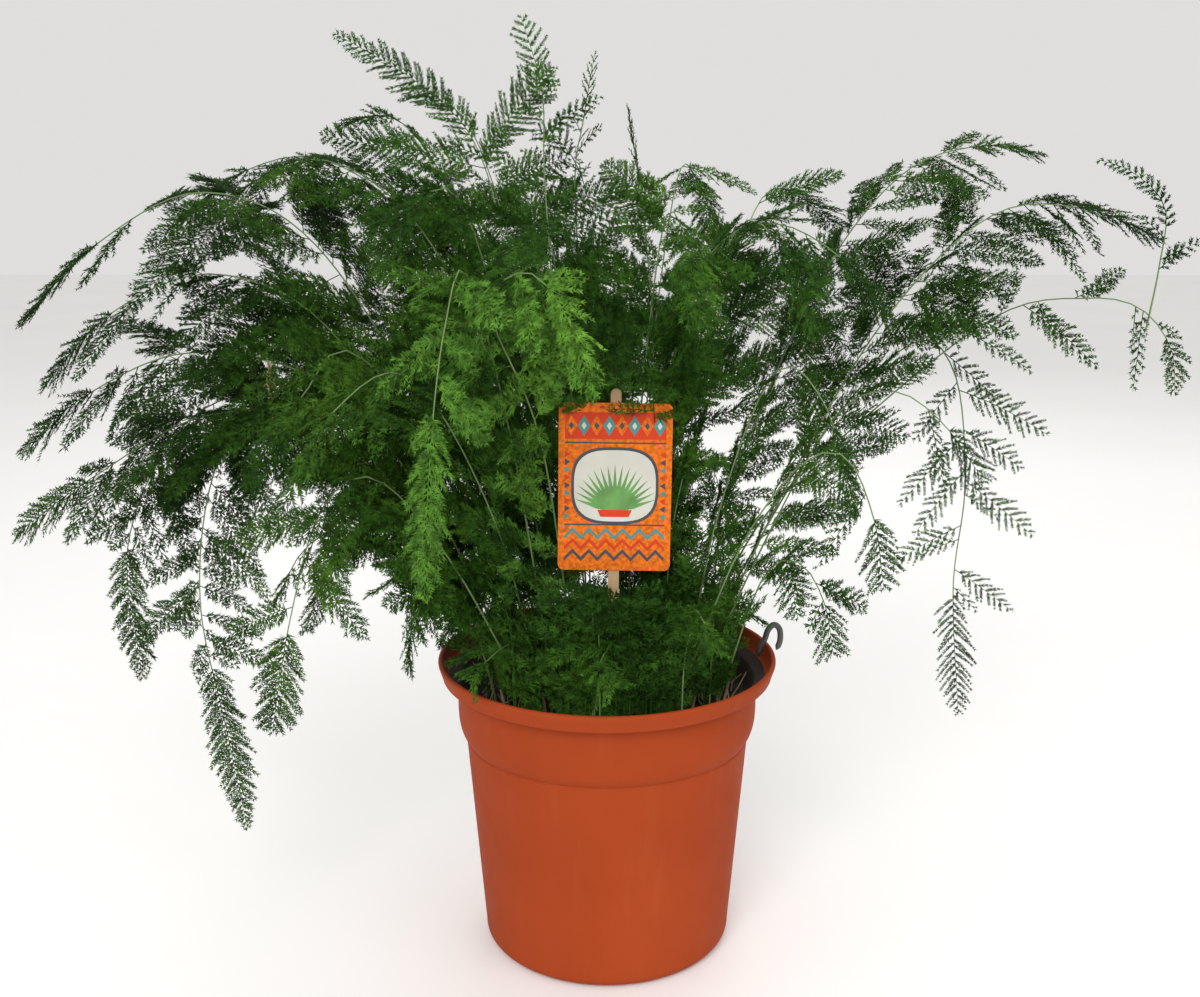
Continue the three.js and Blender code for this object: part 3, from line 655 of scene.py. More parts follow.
class Growth:
    """Triangles gathered for one mesh, in millimetres."""

    def __init__(self):
        self.points = []
        self.faces = []
        self.slots = []
        self.count = 0

    def add(self, points, faces, slot=0):
        points = np.asarray(points, float).reshape(-1, 3)
        faces = np.asarray(faces, int).reshape(-1, 3)
        self.points.append(points)
        self.faces.append(faces + self.count)
        self.slots.append(np.full(len(faces), slot))
        self.count += len(points)

    def tube(self, points, radii, sides, slot=0):
        """A closed tube through points, with a radius at each."""
        points = np.asarray(points, float)
        radii = np.broadcast_to(radii, len(points))
        along = unit(np.gradient(points, axis=0))
        side = np.array([1.0, 0, 0]) if abs(along[0][0]) < 0.9 else np.array([0, 1.0, 0])
        rings = []
        angles = 2 * np.pi * np.arange(sides) / sides
        for point, radius, way in zip(points, radii, along):
            side = unit(side - way * side.dot(way))
            across = np.cross(way, side)
            turn = np.cos(angles)[:, None] * side + np.sin(angles)[:, None] * across
            rings.append(point + radius * turn)
        self.add(rings, closed_faces(len(points), sides), slot)

    def spikes(self, roots, tips, widths, slot=0):
        """Three-sided spikes from each root to each tip."""
        along = unit(tips - roots)
        other = np.where(np.abs(along[:, 2:]) < 0.8, np.array([[0, 0, 1.0]]), np.array([[1.0, 0, 0]]))
        side = unit(np.cross(along, other))
        up = np.cross(side, along)
        corners = [
            roots + widths[:, None] * (math.cos(a) * side + math.sin(a) * up)
            for a in (0, 2 * math.pi / 3, 4 * math.pi / 3)
        ]
        base = 4 * np.arange(len(roots))[:, None, None]
        self.add(np.stack([*corners, tips], 1), base + [[0, 1, 3], [1, 2, 3], [2, 0, 3]], slot)

    def blades(self, roots, tips, sides, slot=0):
        """One flat tapering blade from each root to each tip; sides: half its width at the root."""
        points = np.stack([roots - sides, roots + sides, tips], 1)
        self.add(points, np.arange(3 * len(roots)), slot)

    def build(self, name, materials, smooth=False):
        mesh = bpy.data.meshes.new(name)
        mesh.from_pydata(np.concatenate(self.points) * MM, [], np.concatenate(self.faces))
        mesh.polygons.foreach_set("material_index", np.concatenate(self.slots).astype(np.int32))
        mesh.polygons.foreach_set("use_smooth", np.full(len(mesh.polygons), smooth))
        for material in materials:
            mesh.materials.append(material)
        mesh.update(calc_edges=True)
        mesh.validate()
        piece = bpy.data.objects.new(name, mesh)
        bpy.context.scene.collection.objects.link(piece)
        return piece


def finish_piece(piece, node):
    if node:
        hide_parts(node)
    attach(piece, "root")


def apply_modifiers(piece):
    graph = bpy.context.evaluated_depsgraph_get()
    mesh = bpy.data.meshes.new_from_object(piece.evaluated_get(graph))
    piece.modifiers.clear()
    piece.data = mesh


def add_spray(growth, spray, rng, radius, bare, slot, wisp):
    """A spray's rib, and branchlets along both sides of it past its bare share, each set with
    needles out to its tip. The larger wisp is, the fewer and shorter they are."""
    count = max(4, int(spray.length * SPRAY_END / RIB_PITCH))
    rib = spray.rib(np.linspace(0, SPRAY_END, count))
    growth.tube(rib, np.linspace(radius, RIB_END_RADIUS, count), 3, slot)

    span = SPRAY_END - bare
    count = max(4, int(spray.length * span / BRANCHLET_PITCH * 2 / wisp))
    part = np.sort(bare + span * (np.arange(count) + rng.uniform(-0.3, 0.3, count)) / count)
    part = np.clip(part, bare, 0.995)
    way = np.where(np.arange(count) % 2 == 0, 1.0, -1.0)
    along, across, up = spray.directions(part)
    roots = spray.rib(part)
    length = spray.reach(part) * (1 - TIP_TAPER * part**3) * rng.uniform(*BRANCHLET_SIZES, count)
    length = np.maximum(length, BRANCHLET_SHORTEST)
    lean = rng.uniform(*BRANCHLET_LEANS, count)
    lift = rng.normal(0, BRANCHLET_LIFT, count)
    out = unit(across * way[:, None] + along * lean[:, None] + up * lift[:, None])
    bend = along * BRANCHLET_CURL * length[:, None]
    bend[:, 2] -= rng.uniform(*BRANCHLET_SAGS, count) * length

    def on_branchlet(i, s):
        s = s[:, None]
        return roots[i] + out[i] * length[i, None] * s + bend[i] * s**2

    every = np.arange(count)
    radii = np.full(count, BRANCHLET_RADIUS)
    growth.spikes(roots, on_branchlet(every, np.ones(count)), radii, slot)

    number = np.maximum((length / NEEDLE_PITCH).astype(int), 2)
    i = np.repeat(every, number)
    local = np.arange(len(i)) - np.repeat(np.cumsum(number) - number, number)
    s = NEEDLE_STOP * (local + rng.uniform(0.2, 0.8, len(i))) / np.repeat(number, number)
    starts = on_branchlet(i, s)
    heading = unit(out[i] + 2 * bend[i] * s[:, None] / length[i, None])
    beside = unit(np.cross(up[i], heading))
    above = np.cross(heading, beside)
    size = NEEDLE_LENGTH * (1 - NEEDLE_TAPER * s) * rng.uniform(*NEEDLE_SIZES, len(i))
    size = np.minimum(size, 1.5 + 0.5 * length[i]) / wisp
    for side in (1.0, -1.0):
        fan = side * rng.uniform(*NEEDLE_FANS, len(i))
        tilt = rng.normal(0, NEEDLE_TILT, len(i))
        reach = unit(heading * 0.85 + beside * fan[:, None] + above * tilt[:, None])
        roll = rng.uniform(*NEEDLE_ROLLS, len(i))
        flat = unit(np.cross(reach, above + beside * roll[:, None]))
        growth.blades(starts, starts + reach * size[:, None], flat * NEEDLE_WIDTH / 2, slot)


def is_open(spray):
    """Whether a spray keeps clear of the label, the view of it, the pot's wall and the mix."""
    part = np.linspace(0.1, 1, 9)
    rib = spray.rib(part)
    reach = spray.directions(part)[1] * (spray.reach(part) + NEEDLE_LENGTH)[:, None]
    for x, y, z in np.concatenate([rib, rib + reach, rib - reach]):
        radius = math.hypot(x, y)
        if z < POT_HEIGHT + LIP_MARGIN and STEP_RADIUS - 1 < radius < RIM_RADIUS + LIP_MARGIN:
            return False
        if z < SOIL_CENTRE_HEIGHT + 1 and radius < RIM_RADIUS:
            return False
        right, high, out = LABEL_INWARD @ Vector((x, y, z))
        high -= VIEW_RISE * max(out, 0)
        past = high > CARD_HEIGHT / 2 - LABEL_COVERED or high < -CARD_HEIGHT / 2 - LABEL_MARGIN
        beside = abs(right) > CARD_WIDTH / 2 + LABEL_MARGIN
        if not (beside or past) and -LIP_MARGIN < out < LABEL_OPEN_DEPTH:
            return False
    return True


def extra_sprays(stem, rng):
    """More side sprays between and below the frame's own: shorter than those, or up to as long
    as the plan's fill."""
    plan = stem.plan
    start, end = plan["share"]
    thin, lush, filled = plan.get("thin"), plan.get("lush"), "fill" in plan
    low = start - THIN_BELOW if thin else max(LOWEST_SPRAY, start - EXTRA_BELOW)
    end = plan.get("filled_to", end)
    droop = LUSH_DROOP if lush else EXTRA_DROOP
    pitch = THIN_PITCH if thin else LUSH_PITCH if lush else EXTRA_PITCH
    count = int(stem.length * (end - low) / pitch)
    sprays = []
    for i in range(count):
        share = low + (end - low) * (i + rng.uniform(0.1, 0.9)) / count
        way = 1 if i % 2 == 0 else -1
        full = plan["fill"] if filled else plan["long"]
        if not filled:
            full *= 1 - EXTRA_TAPER * max(0, share - start) / (end - start)
            full *= 1 - LOW_TAPER * max(0, start - share)
        for _ in range(SPRAY_TRIES):
            length = full * rng.uniform(*EXTRA_SIZES)
            width = plan["wide"] * (length / plan["long"]) * rng.uniform(*EXTRA_WIDTHS)
            open_ = math.radians(rng.uniform(*EXTRA_ANGLES) + (FILL_ANGLE if filled else 0))
            lift = math.radians(rng.normal(droop, EXTRA_LIFT))
            twist = math.radians(rng.normal(0, EXTRA_TWIST))
            sag = rng.uniform(*EXTRA_SAGS)
            spray = Spray(stem, share, way, open_, lift, twist, length, width, sag)
            if is_open(spray):
                sprays.append(spray)
                break
    return sprays


def add_withered(growth, root, rng):
    """A dry sprig that hangs from a stem: curled strands with shrunken needles along them."""
    for _ in range(STRAND_COUNT):
        steps = rng.normal(0, STRAND_CURL, (STRAND_STEPS, 3)) + STRAND_DROP
        strand = root + np.vstack([np.zeros(3), np.cumsum(steps, axis=0)])
        growth.tube(strand, np.linspace(*STRAND_RADII, len(strand)), 5, DRY)
        joints = np.repeat(strand[2:], 3, axis=0)
        curls = rng.normal(0, CURL_LENGTH, joints.shape) + CURL_DROP
        growth.spikes(joints, joints + curls, np.full(len(joints), CURL_RADIUS), DRY)


def build_stem(name, stems, materials):
    """One leafy stem: its wiry stem, every spray's rib, and the feathers on them."""
    growth = Growth()
    rng = np.random.default_rng(int(name[-2:]))
    for stem in stems:
        plan = stem.plan
        # A bright frond takes the lighter green: painted light where it stands in full light.
        green = PAINTED_LIGHT_GREEN if plan.get("bright") else GREEN
        points, radii = stem.line(STEM_RADIUS, STEM_TIP_RADIUS, 12)
        if "branch" not in plan:
            points = np.vstack([points[0] - [0, 0, STEM_SINK], points])
            radii = np.concatenate([[STEM_RADIUS], radii])
        growth.tube(points, radii, 6, STALK)
        for spray in [*stem.sprays, *extra_sprays(stem, rng)]:
            is_tip = isinstance(spray, TipSpray)
            radius = TIP_RIB_RADIUS if is_tip else RIB_RADIUS
            bare = BARE_TIP_SHARE if is_tip else BARE_SHARE
            add_spray(growth, spray, rng, radius, bare, green, plan.get("wisp", 1))
        if "withered" in plan:
            add_withered(growth, stem.curve.point(plan["withered"]), rng)
    finish_piece(growth.build(f"{name}_foliage", materials), name)


def shoot_plans(rng):
    """The plan of every young shoot: all round, at the front, at the right, high up."""
    inner, outer = SHOOT_RING
    for i in range(SHOOT_COUNT + FRONT_COUNT + RIGHT_COUNT):
        if i < SHOOT_COUNT:
            turn = SHOOT_TURN * i + rng.uniform(-0.3, 0.3)
            radius = inner + (outer - inner) * math.sqrt((i + 0.5) / SHOOT_COUNT)
            tall = rng.uniform(*SHOOT_HEIGHTS)
        elif i < SHOOT_COUNT + FRONT_COUNT:
            aside = MIDDLE_TURN if i % 4 == 0 else FRONT_TURN
            turn = -math.pi / 2 + rng.uniform(-aside, aside)
            radius = rng.uniform(*FRONT_RING)
            tall = rng.uniform(*FRONT_HEIGHTS)
        else:
            turn = math.radians(rng.uniform(*RIGHT_TURNS))
            radius = rng.uniform(*RIGHT_RING)
            tall = rng.uniform(*RIGHT_HEIGHTS)
        lean = rng.uniform(*SHOOT_LEANS) * tall
        steps = [(radius, 0), (radius + 0.2 * lean, 0.6 * tall), (radius + lean, tall)]
        path = [[r * math.cos(turn), r * math.sin(turn), SOIL_EDGE_HEIGHT + z] for r, z in steps]
        size = 0.75 + tall / 300
        roll = [rng.uniform(*SHOOT_ROLLS)] * 2
        yield frond(path, SHOOT_SHARE, roll, 0, SHOOT_SPRAY * size, SHOOT_REACH * size,
                    lush=tall < LUSH_HEIGHT)
    for plan in HIGH_SHOOTS:
        foot, *rest = plan["path"]
        yield {**plan, "path": [[*foot, SOIL_EDGE_HEIGHT], *rest]}


def build_shoots(materials):
    """Young shoots: short ones that stand close together in the mix and hide the foot of the
    stems, taller ones at the right, and the high ones."""
    growth = Growth()
    rng = np.random.default_rng(SHOOT_SEED)
    for plan in shoot_plans(rng):
        stem = Stem(plan, plan["path"])
        colour = GREEN if rng.random() < GREEN_SHARE else STALK
        growth.tube(*stem.line(SHOOT_RADIUS, SHOOT_TIP_RADIUS, 8), 5, colour)
        for spray in [*extra_sprays(stem, rng), TipSpray(stem)]:
            add_spray(growth, spray, rng, SHOOT_RIB_RADIUS, BARE_SHOOT_SHARE, GREEN,
                      plan.get("wisp", 1))
    finish_piece(growth.build("young_shoots", materials), None)


class Shader:
    """A node material under construction."""

    def __init__(self, name):
        self.material = bpy.data.materials.new(name)
        self.material.use_nodes = True
        self.tree = self.material.node_tree
        self.base = self.tree.nodes["Principled BSDF"]

    def put(self, socket, value):
        """Links a socket to another one, or gives it a plain value."""
        if hasattr(value, "is_linked"):
            self.tree.links.new(value, socket)
        else:
            socket.default_value = value

    def fill(self, node, inputs):
        for name, value in inputs.items():
            self.put(node.inputs[name.replace("_", " ")], value)
        return node

    def node(self, kind, **inputs):
        return self.fill(self.tree.nodes.new(kind), inputs)

    def finished(self, **inputs):
        """The material, once its surface has these inputs."""
        self.fill(self.base, inputs)
        return self.material

    def position(self):
        return self.node("ShaderNodeTexCoord").outputs["Object"]

    def noise(self, scale, detail=3.0, rough=0.55, vector=None):
        node = self.node("ShaderNodeTexNoise", Scale=scale, Detail=detail, Roughness=rough,
                         Vector=vector or self.position())
        return node.outputs["Fac"]

    def ramp(self, source, stops):
        """A colour ramp: stops are (place, colour)."""
        node = self.node("ShaderNodeValToRGB", Fac=source)
        ramp = node.color_ramp
        while len(ramp.elements) < len(stops):
            ramp.elements.new(0.5)
        for element, (place, colour) in zip(ramp.elements, stops):
            element.position = place
            element.color = (*colour, 1)
        return node.outputs["Color"]

    def scaled(self, source, low, high, new_low, new_high):
        node = self.node("ShaderNodeMapRange", Value=source, From_Min=low, From_Max=high,
                         To_Min=new_low, To_Max=new_high)
        return node.outputs["Result"]

    def mixed(self, share, one, other, blend="MIX"):
        node = self.node("ShaderNodeMix")
        node.data_type = "RGBA"
        node.blend_type = blend
        colours = [socket for socket in node.inputs if socket.type == "RGBA"]
        for socket, value in zip([node.inputs["Factor"], *colours], (share, one, other)):
            self.put(socket, value)
        return [socket for socket in node.outputs if socket.type == "RGBA"][0]

    def bump(self, height, strength, distance):
        node = self.node("ShaderNodeBump", Height=height, Strength=strength, Distance=distance)
        return node.outputs["Normal"]


DARK_GREENS = [
    (0.3, (0.014, 0.046, 0.005)), (0.45, (0.024, 0.074, 0.008)),
    (0.58, (0.04, 0.112, 0.011)), (0.72, (0.07, 0.165, 0.017)),
]
# A lighter copy of the greens: painted light for the fronds in full light at the front.
BRIGHT_GREENS = [
    (0.3, (0.055, 0.145, 0.02)), (0.5, (0.09, 0.22, 0.028)), (0.7, (0.14, 0.3, 0.04)),
]


def painted_side_shade(shader):
    """A factor of painted shade that darkens the needles far out to the left and right."""
    place = shader.node("ShaderNodeSeparateXYZ", Vector=shader.position())
    out = shader.node("ShaderNodeMath", Value=place.outputs["X"])
    out.operation = "ABSOLUTE"
    share = shader.scaled(out.outputs["Value"], 0.12, 0.26, 0, 1)
    return shader.ramp(share, [(0, (1, 1, 1)), (1, (0.6, 0.62, 0.6))])


def foliage_material(name, greens):
    """Soft green needles: hue and depth vary in patches and from needle to needle, they are darker
    far out to the left and right as painted shade, and light comes through them."""
    shader = Shader(name)
    green = shader.ramp(shader.noise(9.0, 2.0), greens)
    tone = shader.ramp(shader.noise(160.0, 2.0), [
        (0.37, (0.5, 0.53, 0.47)), (0.63, (1.5, 1.45, 1.3)),
    ])
    colour = shader.mixed(1.0, green, tone, "MULTIPLY")
    # Painted shade: the needles grow darker far out to the left and right.
    colour = shader.mixed(1.0, colour, painted_side_shade(shader), "MULTIPLY")
    through = shader.node("ShaderNodeBsdfTranslucent", Color=colour)
    both = shader.node("ShaderNodeMixShader", Fac=0.24)
    shader.put(both.inputs[1], shader.base.outputs["BSDF"])
    shader.put(both.inputs[2], through.outputs["BSDF"])
    shader.put(shader.tree.nodes["Material Output"].inputs["Surface"], both.outputs["Shader"])
    return shader.finished(Base_Color=colour, Roughness=0.7, Specular_IOR_Level=0.12)


def stem_material():
    """Wiry pale green stems, browner in places."""
    shader = Shader("fern_stem")
    colour = shader.ramp(shader.noise(14.0), [
        (0.32, (0.07, 0.12, 0.035)), (0.55, (0.13, 0.21, 0.065)), (0.7, (0.22, 0.27, 0.11)),
    ])
    bump = shader.bump(shader.noise(900.0, 2.0), 0.3, 0.0002)
    return shader.finished(Base_Color=colour, Roughness=0.5, Normal=bump)


def pot_material():
    """Satin terracotta-coloured plastic with a fine moulded grain and faint scuffs."""
    shader = Shader("terracotta_plastic")
    colour = shader.ramp(shader.noise(7.0, 4.0), [
        (0.3, (0.295, 0.043, 0.01)), (0.5, (0.325, 0.048, 0.011)), (0.72, (0.36, 0.056, 0.014)),
    ])
    stretch = shader.node("ShaderNodeMapping", Vector=shader.position(), Scale=(1.0, 1.0, 0.12))
    streaks = shader.noise(60.0, 4.0, 0.6, stretch.outputs["Vector"])
    dust = shader.scaled(streaks, 0.56, 0.78, 0.0, 0.12)
    colour = shader.mixed(dust, colour, (0.43, 0.12, 0.05, 1))
    rough = shader.scaled(shader.noise(45.0, 4.0), 0.3, 0.7, 0.56, 0.7)
    bump = shader.bump(shader.noise(700.0), 0.12, 0.0003)
    return shader.finished(Base_Color=colour, Roughness=rough, Normal=bump, Specular_IOR_Level=0.07)


def soil_material():
    """Dark moist potting mix with paler fibres."""
    shader = Shader("potting_mix")
    colour = shader.ramp(shader.noise(110.0, 6.0, 0.7), [
        (0.3, (0.005, 0.003, 0.002)), (0.5, (0.016, 0.01, 0.006)),
        (0.64, (0.038, 0.024, 0.014)), (0.78, (0.11, 0.077, 0.046)),
    ])
    bump = shader.bump(shader.noise(420.0, 6.0, 0.7), 0.9, 0.002)
    return shader.finished(Base_Color=colour, Roughness=0.93, Normal=bump)


def plain_material(name, colour, rough, grain, shift=0.12, bump=0.15, gloss=0.5):
    """A lightly mottled finish round one colour."""
    shader = Shader(name)
    dark = [part * (1 - shift) for part in colour]
    light = [min(1.0, part * (1 + shift)) for part in colour]
    tone = shader.ramp(shader.noise(grain), [(0.35, dark), (0.65, light)])
    normal = shader.bump(shader.noise(grain * 6), bump, 0.0002)
    return shader.finished(Base_Color=tone, Roughness=rough, Specular_IOR_Level=gloss, Normal=normal)


def lathe(growth, profile, segments, wobble=None):
    """A profile of (radius, height) turned about Z; wobble may move its points."""
    angles = 2 * np.pi * np.arange(segments) / segments
    ring = np.stack([np.cos(angles), np.sin(angles)], -1)
    points = np.concatenate([
        np.hstack([radius * ring, np.full((segments, 1), height)]) for radius, height in profile
    ])
    if wobble is not None:
        points = wobble(points)
    growth.add(points, wall_faces(len(profile), segments))


def arc(centre, radius, start, stop, count):
    """Points of a round corner in a profile, angles in degrees."""
    angles = np.radians(np.linspace(start, stop, count))
    return [(centre[0] + radius * math.cos(a), centre[1] + radius * math.sin(a)) for a in angles]


def curved(points, count):
    """A smooth stretch of profile through a few points."""
    flat = [[r, 0, z] for r, z in points]
    return [(p[0], p[2]) for p in Curve(flat).point(np.linspace(0, 1, count))]


def build_pot(material, shade_and_stain):
    """The pot: its outside from the middle of the underside up to the lip, its inside back down
    to the middle of its floor, and the drain holes. Below the lip the inside is near black:
    painted shade, with some soil stain."""
    rim, band, step, base = RIM_RADIUS, BAND_RADIUS, STEP_RADIUS, BASE_RADIUS
    top, ledge = POT_HEIGHT, STEP_HEIGHT
    low = top - LIP_DROP
    outside = [
        (0.01, 0), (base - CORNER - 4, 0), *arc((base - CORNER, CORNER), CORNER, -90, 0, 12),
        *np.linspace((base, CORNER + 1), (step, ledge - 1.6), 14).tolist(),
        (step - 0.6, ledge - 0.8), (step - 0.6, ledge - 0.1),
        *curved([(step + 0.4, ledge + 0.7), (step + 2.9, ledge + 5), (band - 0.7, ledge + 12),
                 (band, ledge + 21), (band, low - 6)], 18),
        *arc((band + 2, low - 4.6), 2, 180, 118, 5),
        *np.linspace((band + 2, low - 2.6), (rim - 4.2, low - 0.6), 4).tolist(),
        *arc((rim - 3.9, low + 0.7), 1.2, -60, -10, 5),
        *np.linspace((rim - 2.4, low + 2), (rim, top - 2.6), 5).tolist(),
        *arc((rim - 1.7, top - 1.7), 1.7, 0, 150, 9),
    ]
    inside = [
        (rim - 3.6, top - 2.6), (rim - 5.8, low + 1.6), (rim - 7.4, low + 0.2),
        (band - WALL + 1.4, low - 2.6), (band - WALL, low - 4.4),
        (band - WALL - BULGE_INSET, ledge + 8), (step - WALL, ledge - 1), (base - WALL, CORNER),
        (base - CORNER, WALL), (0.01, WALL),
    ]
    growth = Growth()
    lathe(growth, [*outside, *inside], POT_SEGMENTS)
    pot = growth.build("moulded_pot", [material, shade_and_stain], smooth=True)
    # Inside faces below the lip take the near-black slot: painted shade, with some soil stain.
    for face in pot.data.polygons:
        inward = -(face.normal.x * face.center.x + face.normal.y * face.center.y)
        if face.center.z < low * MM and inward > 0.3 * face.center.xy.length:
            face.material_index = 1
    cutter = Growth()
    for i in range(DRAIN_COUNT):
        angle = (i + 0.5) * 2 * math.pi / DRAIN_COUNT
        centre = np.array([DRAIN_RING * math.cos(angle), DRAIN_RING * math.sin(angle), 0])
        cutter.tube([centre - [0, 0, 2 * WALL], centre + [0, 0, 2 * WALL]], DRAIN_RADIUS, 24)
    drains = cutter.build("drain_cutter", [material])
    cut = pot.modifiers.new("drains", "BOOLEAN")
    cut.object = drains
    cut.solver = "EXACT"
    apply_modifiers(pot)
    bpy.data.objects.remove(drains)
    pot.data.shade_smooth()
    pot.data.set_sharp_from_angle(angle=SHARP_ANGLE)
    finish_piece(pot, "pot")


def build_soil(material, fibre):
    """The root ball with a lumpy top, and crumbs, stubs and short dry fibres on it."""
    rng = np.random.default_rng(SOIL_SEED)
    full_turn = 2 * math.pi
    lumps = [
        (rng.uniform(0, full_turn), rng.uniform(0.03, 0.3), rng.uniform(0, 6.3))
        for _ in range(LUMP_COUNT)
    ]
    edge = BAND_RADIUS - WALL - 0.4 * BULGE_INSET - GAP

    def height(x, y):
        bumps = sum(
            np.sin(rate * (x * math.cos(turn) + y * math.sin(turn)) + start)
            for turn, rate, start in lumps
        )
        dome = (SOIL_CENTRE_HEIGHT - SOIL_EDGE_HEIGHT) * (1 - (np.hypot(x, y) / edge) ** 2)
        return SOIL_EDGE_HEIGHT + dome - LUMP_SINK + LUMP_HEIGHT * bumps

    def wobble(points):
        top = points[:, 2] > SOIL_EDGE_HEIGHT - 1
        points[top, 2] = height(points[top, 0], points[top, 1])
        return points

    def on_top(radius, turn, sink):
        x, y = radius * np.cos(turn), radius * np.sin(turn)
        return np.stack([x, y, height(x, y) - sink], -1)

    sides = [
        (0.01, WALL + GAP), (BASE_RADIUS - CORNER - 0.5, WALL + GAP),
        (BASE_RADIUS - WALL - GAP, CORNER + 0.6), (STEP_RADIUS - WALL - GAP, STEP_HEIGHT - 0.6),
        (BAND_RADIUS - WALL - BULGE_INSET - GAP, STEP_HEIGHT + 8.4),
        (edge - 0.35, SOIL_EDGE_HEIGHT - 4),
    ]
    top = [(edge * share, SOIL_EDGE_HEIGHT) for share in np.linspace(0.998, 0.0005, SOIL_RINGS)]
    growth = Growth()
    lathe(growth, [*sides, *top], SOIL_SEGMENTS, wobble)

    radius = edge * 0.97 * np.sqrt(rng.uniform(0, 1, CRUMB_COUNT))
    centres = on_top(radius, rng.uniform(0, full_turn, CRUMB_COUNT), -0.4)
    corners = np.array([[1, 0, 0], [-1, 0, 0], [0, 1, 0], [0, -1, 0], [0, 0, 0.8], [0, 0, -0.8]])
    faces = [[0, 2, 4], [2, 1, 4], [1, 3, 4], [3, 0, 4], [2, 0, 5], [1, 2, 5], [3, 1, 5], [0, 3, 5]]
    for centre, size in zip(centres, rng.uniform(*CRUMB_SIZES, CRUMB_COUNT)):
        rough = unit(rng.normal(0, 1, (6, 3))) * size * rng.uniform(0.7, 1.1, (6, 1))
        growth.add(centre + corners * size * 0.8 + rough * 0.35, faces)
    for _ in range(STUB_COUNT):
        radius, turn = rng.uniform(*STUB_RING), rng.uniform(0, full_turn)
        foot = on_top(radius, turn, 2)
        lean = np.array([0.2 * math.cos(turn), 0.2 * math.sin(turn), 1]) * rng.uniform(*STUB_HEIGHTS)
        growth.tube([foot, foot + 0.5 * lean, foot + lean], STUB_RADII, 7, 1)
    for i in range(FIBRE_COUNT):
        radius, turn = FIBRE_RING * math.sqrt(rng.uniform(0, 1)), rng.uniform(0, full_turn)
        foot = on_top(radius, turn, 1)
        lean = rng.normal(0, 0.5, 3)
        lean[2] = abs(lean[2]) + (0.25 if i % 2 else 1.6)
        reach = unit(lean) * rng.uniform(*FIBRE_LENGTHS)
        middle = foot + 0.5 * reach + rng.normal(0, 0.6, 3)
        growth.tube([foot, middle, foot + reach], FIBRE_RADII, 5, 1)
    soil = growth.build("potting_mix_crumbs", [material, fibre])
    finish_piece(soil, "potting_mix")


def rounded_outline(width, height, corner, count):
    """Points round a rectangle with round corners, anticlockwise."""
    points = []
    for k, (sx, sy) in enumerate([(1, -1), (1, 1), (-1, 1), (-1, -1)]):
        centre = (sx * (width / 2 - corner), sy * (height / 2 - corner))
        points += arc(centre, corner, 90 * k - 90, 90 * k, count)
    return points


def rectangle(left, low, right, high):
    return [(left, low), (right, low), (right, high), (left, high)]


def diamond(x, y, across, up):
    return [(x - across, y), (x, y - up), (x + across, y), (x, y + up)]


def add_plate(growth, outline, back, front, slot):
    """A closed convex plate between two depths of the label's own frame, which has x across,
    y up and z out of its face, set in place."""
    points = [LABEL_PLACE @ Vector((x, y, z)) for z in (back, front) for x, y in outline]
    growth.add(points, closed_faces(2, len(outline)), slot)


def build_label(materials):
    """The card, with a plain printed pattern: a band of diamonds, small triangles down the sides
    of a pale rounded panel that holds a simple fan of green blades on a red foot, and rows of
    chevrons, with two dark rules between them. Places are from the middle of the card."""
    orange, cream, red, teal, dark, green = range(6)
    growth = Growth()
    card = rounded_outline(CARD_WIDTH, CARD_HEIGHT, CARD_CORNER, 10)
    add_plate(growth, card, 0, CARD_THICKNESS, orange)

    def print_shape(outline, slot, level=1):
        front = CARD_THICKNESS + INK * level
        add_plate(growth, outline, CARD_THICKNESS - INK_SINK, front, slot)

    inner = CARD_WIDTH / 2 - PRINT_MARGIN
    print_shape(rectangle(-inner, 31, inner, 48), red)
    step = 2 * inner / 8
    for i in range(8):
        x = -inner + (i + 0.5) * step
        print_shape(diamond(x, 39.5, step / 2, 6.5), (orange, teal)[i % 2], 2)
        print_shape(diamond(x, 39.5, step / 5, 2.5), (dark, cream)[i % 2], 3)
    for y in (28.6, -24.2):
        print_shape(rectangle(-inner, y - 0.5, inner, y + 0.5), dark)
    for i in range(9):
        low = -21 + 5 * i
        for side in (-1, 1):
            outline = [(side * inner, low), (side * inner, low + 4.4), (side * (inner - 3.6), low + 2.2)]
            print_shape(outline[::side], (teal, dark, red)[i % 3])

    panel = []
    for angle in np.linspace(0, 2 * math.pi, 56, endpoint=False):
        c, s = math.cos(angle), math.sin(angle)
        squircle = (abs(c) ** 3 + abs(s) ** 3) ** (-1 / 3)
        panel.append((26 * c * squircle, 1 + 23 * s * squircle))
    print_shape([(1.07 * x, 1.08 * (y - 1) + 1) for x, y in panel], dark)
    print_shape(panel, cream, 2)
    foot = -16
    for i in range(17):
        turn = math.radians(-72 + 9 * i)
        long = 31 - 0.05 * (i - 8) ** 2
        x, y = long * math.sin(turn), long * math.cos(turn)
        aside, down = 1.5 * math.cos(turn), 1.5 * math.sin(turn)
        print_shape([
            (0, foot), (0.45 * x + aside, foot + 0.45 * y - down), (x, foot + y),
            (0.45 * x - aside, foot + 0.45 * y + down),
        ], green, 3 + (i % 3))
    print_shape([(-9, -19), (9, -19), (11, -14.5), (-11, -14.5)], red, 6)

    wide = inner / 6
    for row, slot in enumerate((teal, red, dark)):
        top = -26 - 7 * row
        for i in range(12):
            left = -inner + i * wide
            right = left + wide
            low, high = (top, top - 5.5) if i % 2 else (top - 5.5, top)
            outline = [(left, low - 2.6), (right, high - 2.6), (right, high), (left, low)]
            print_shape(outline, slot, 1 + row)
    finish_piece(growth.build("picture_label", materials), "label_card")


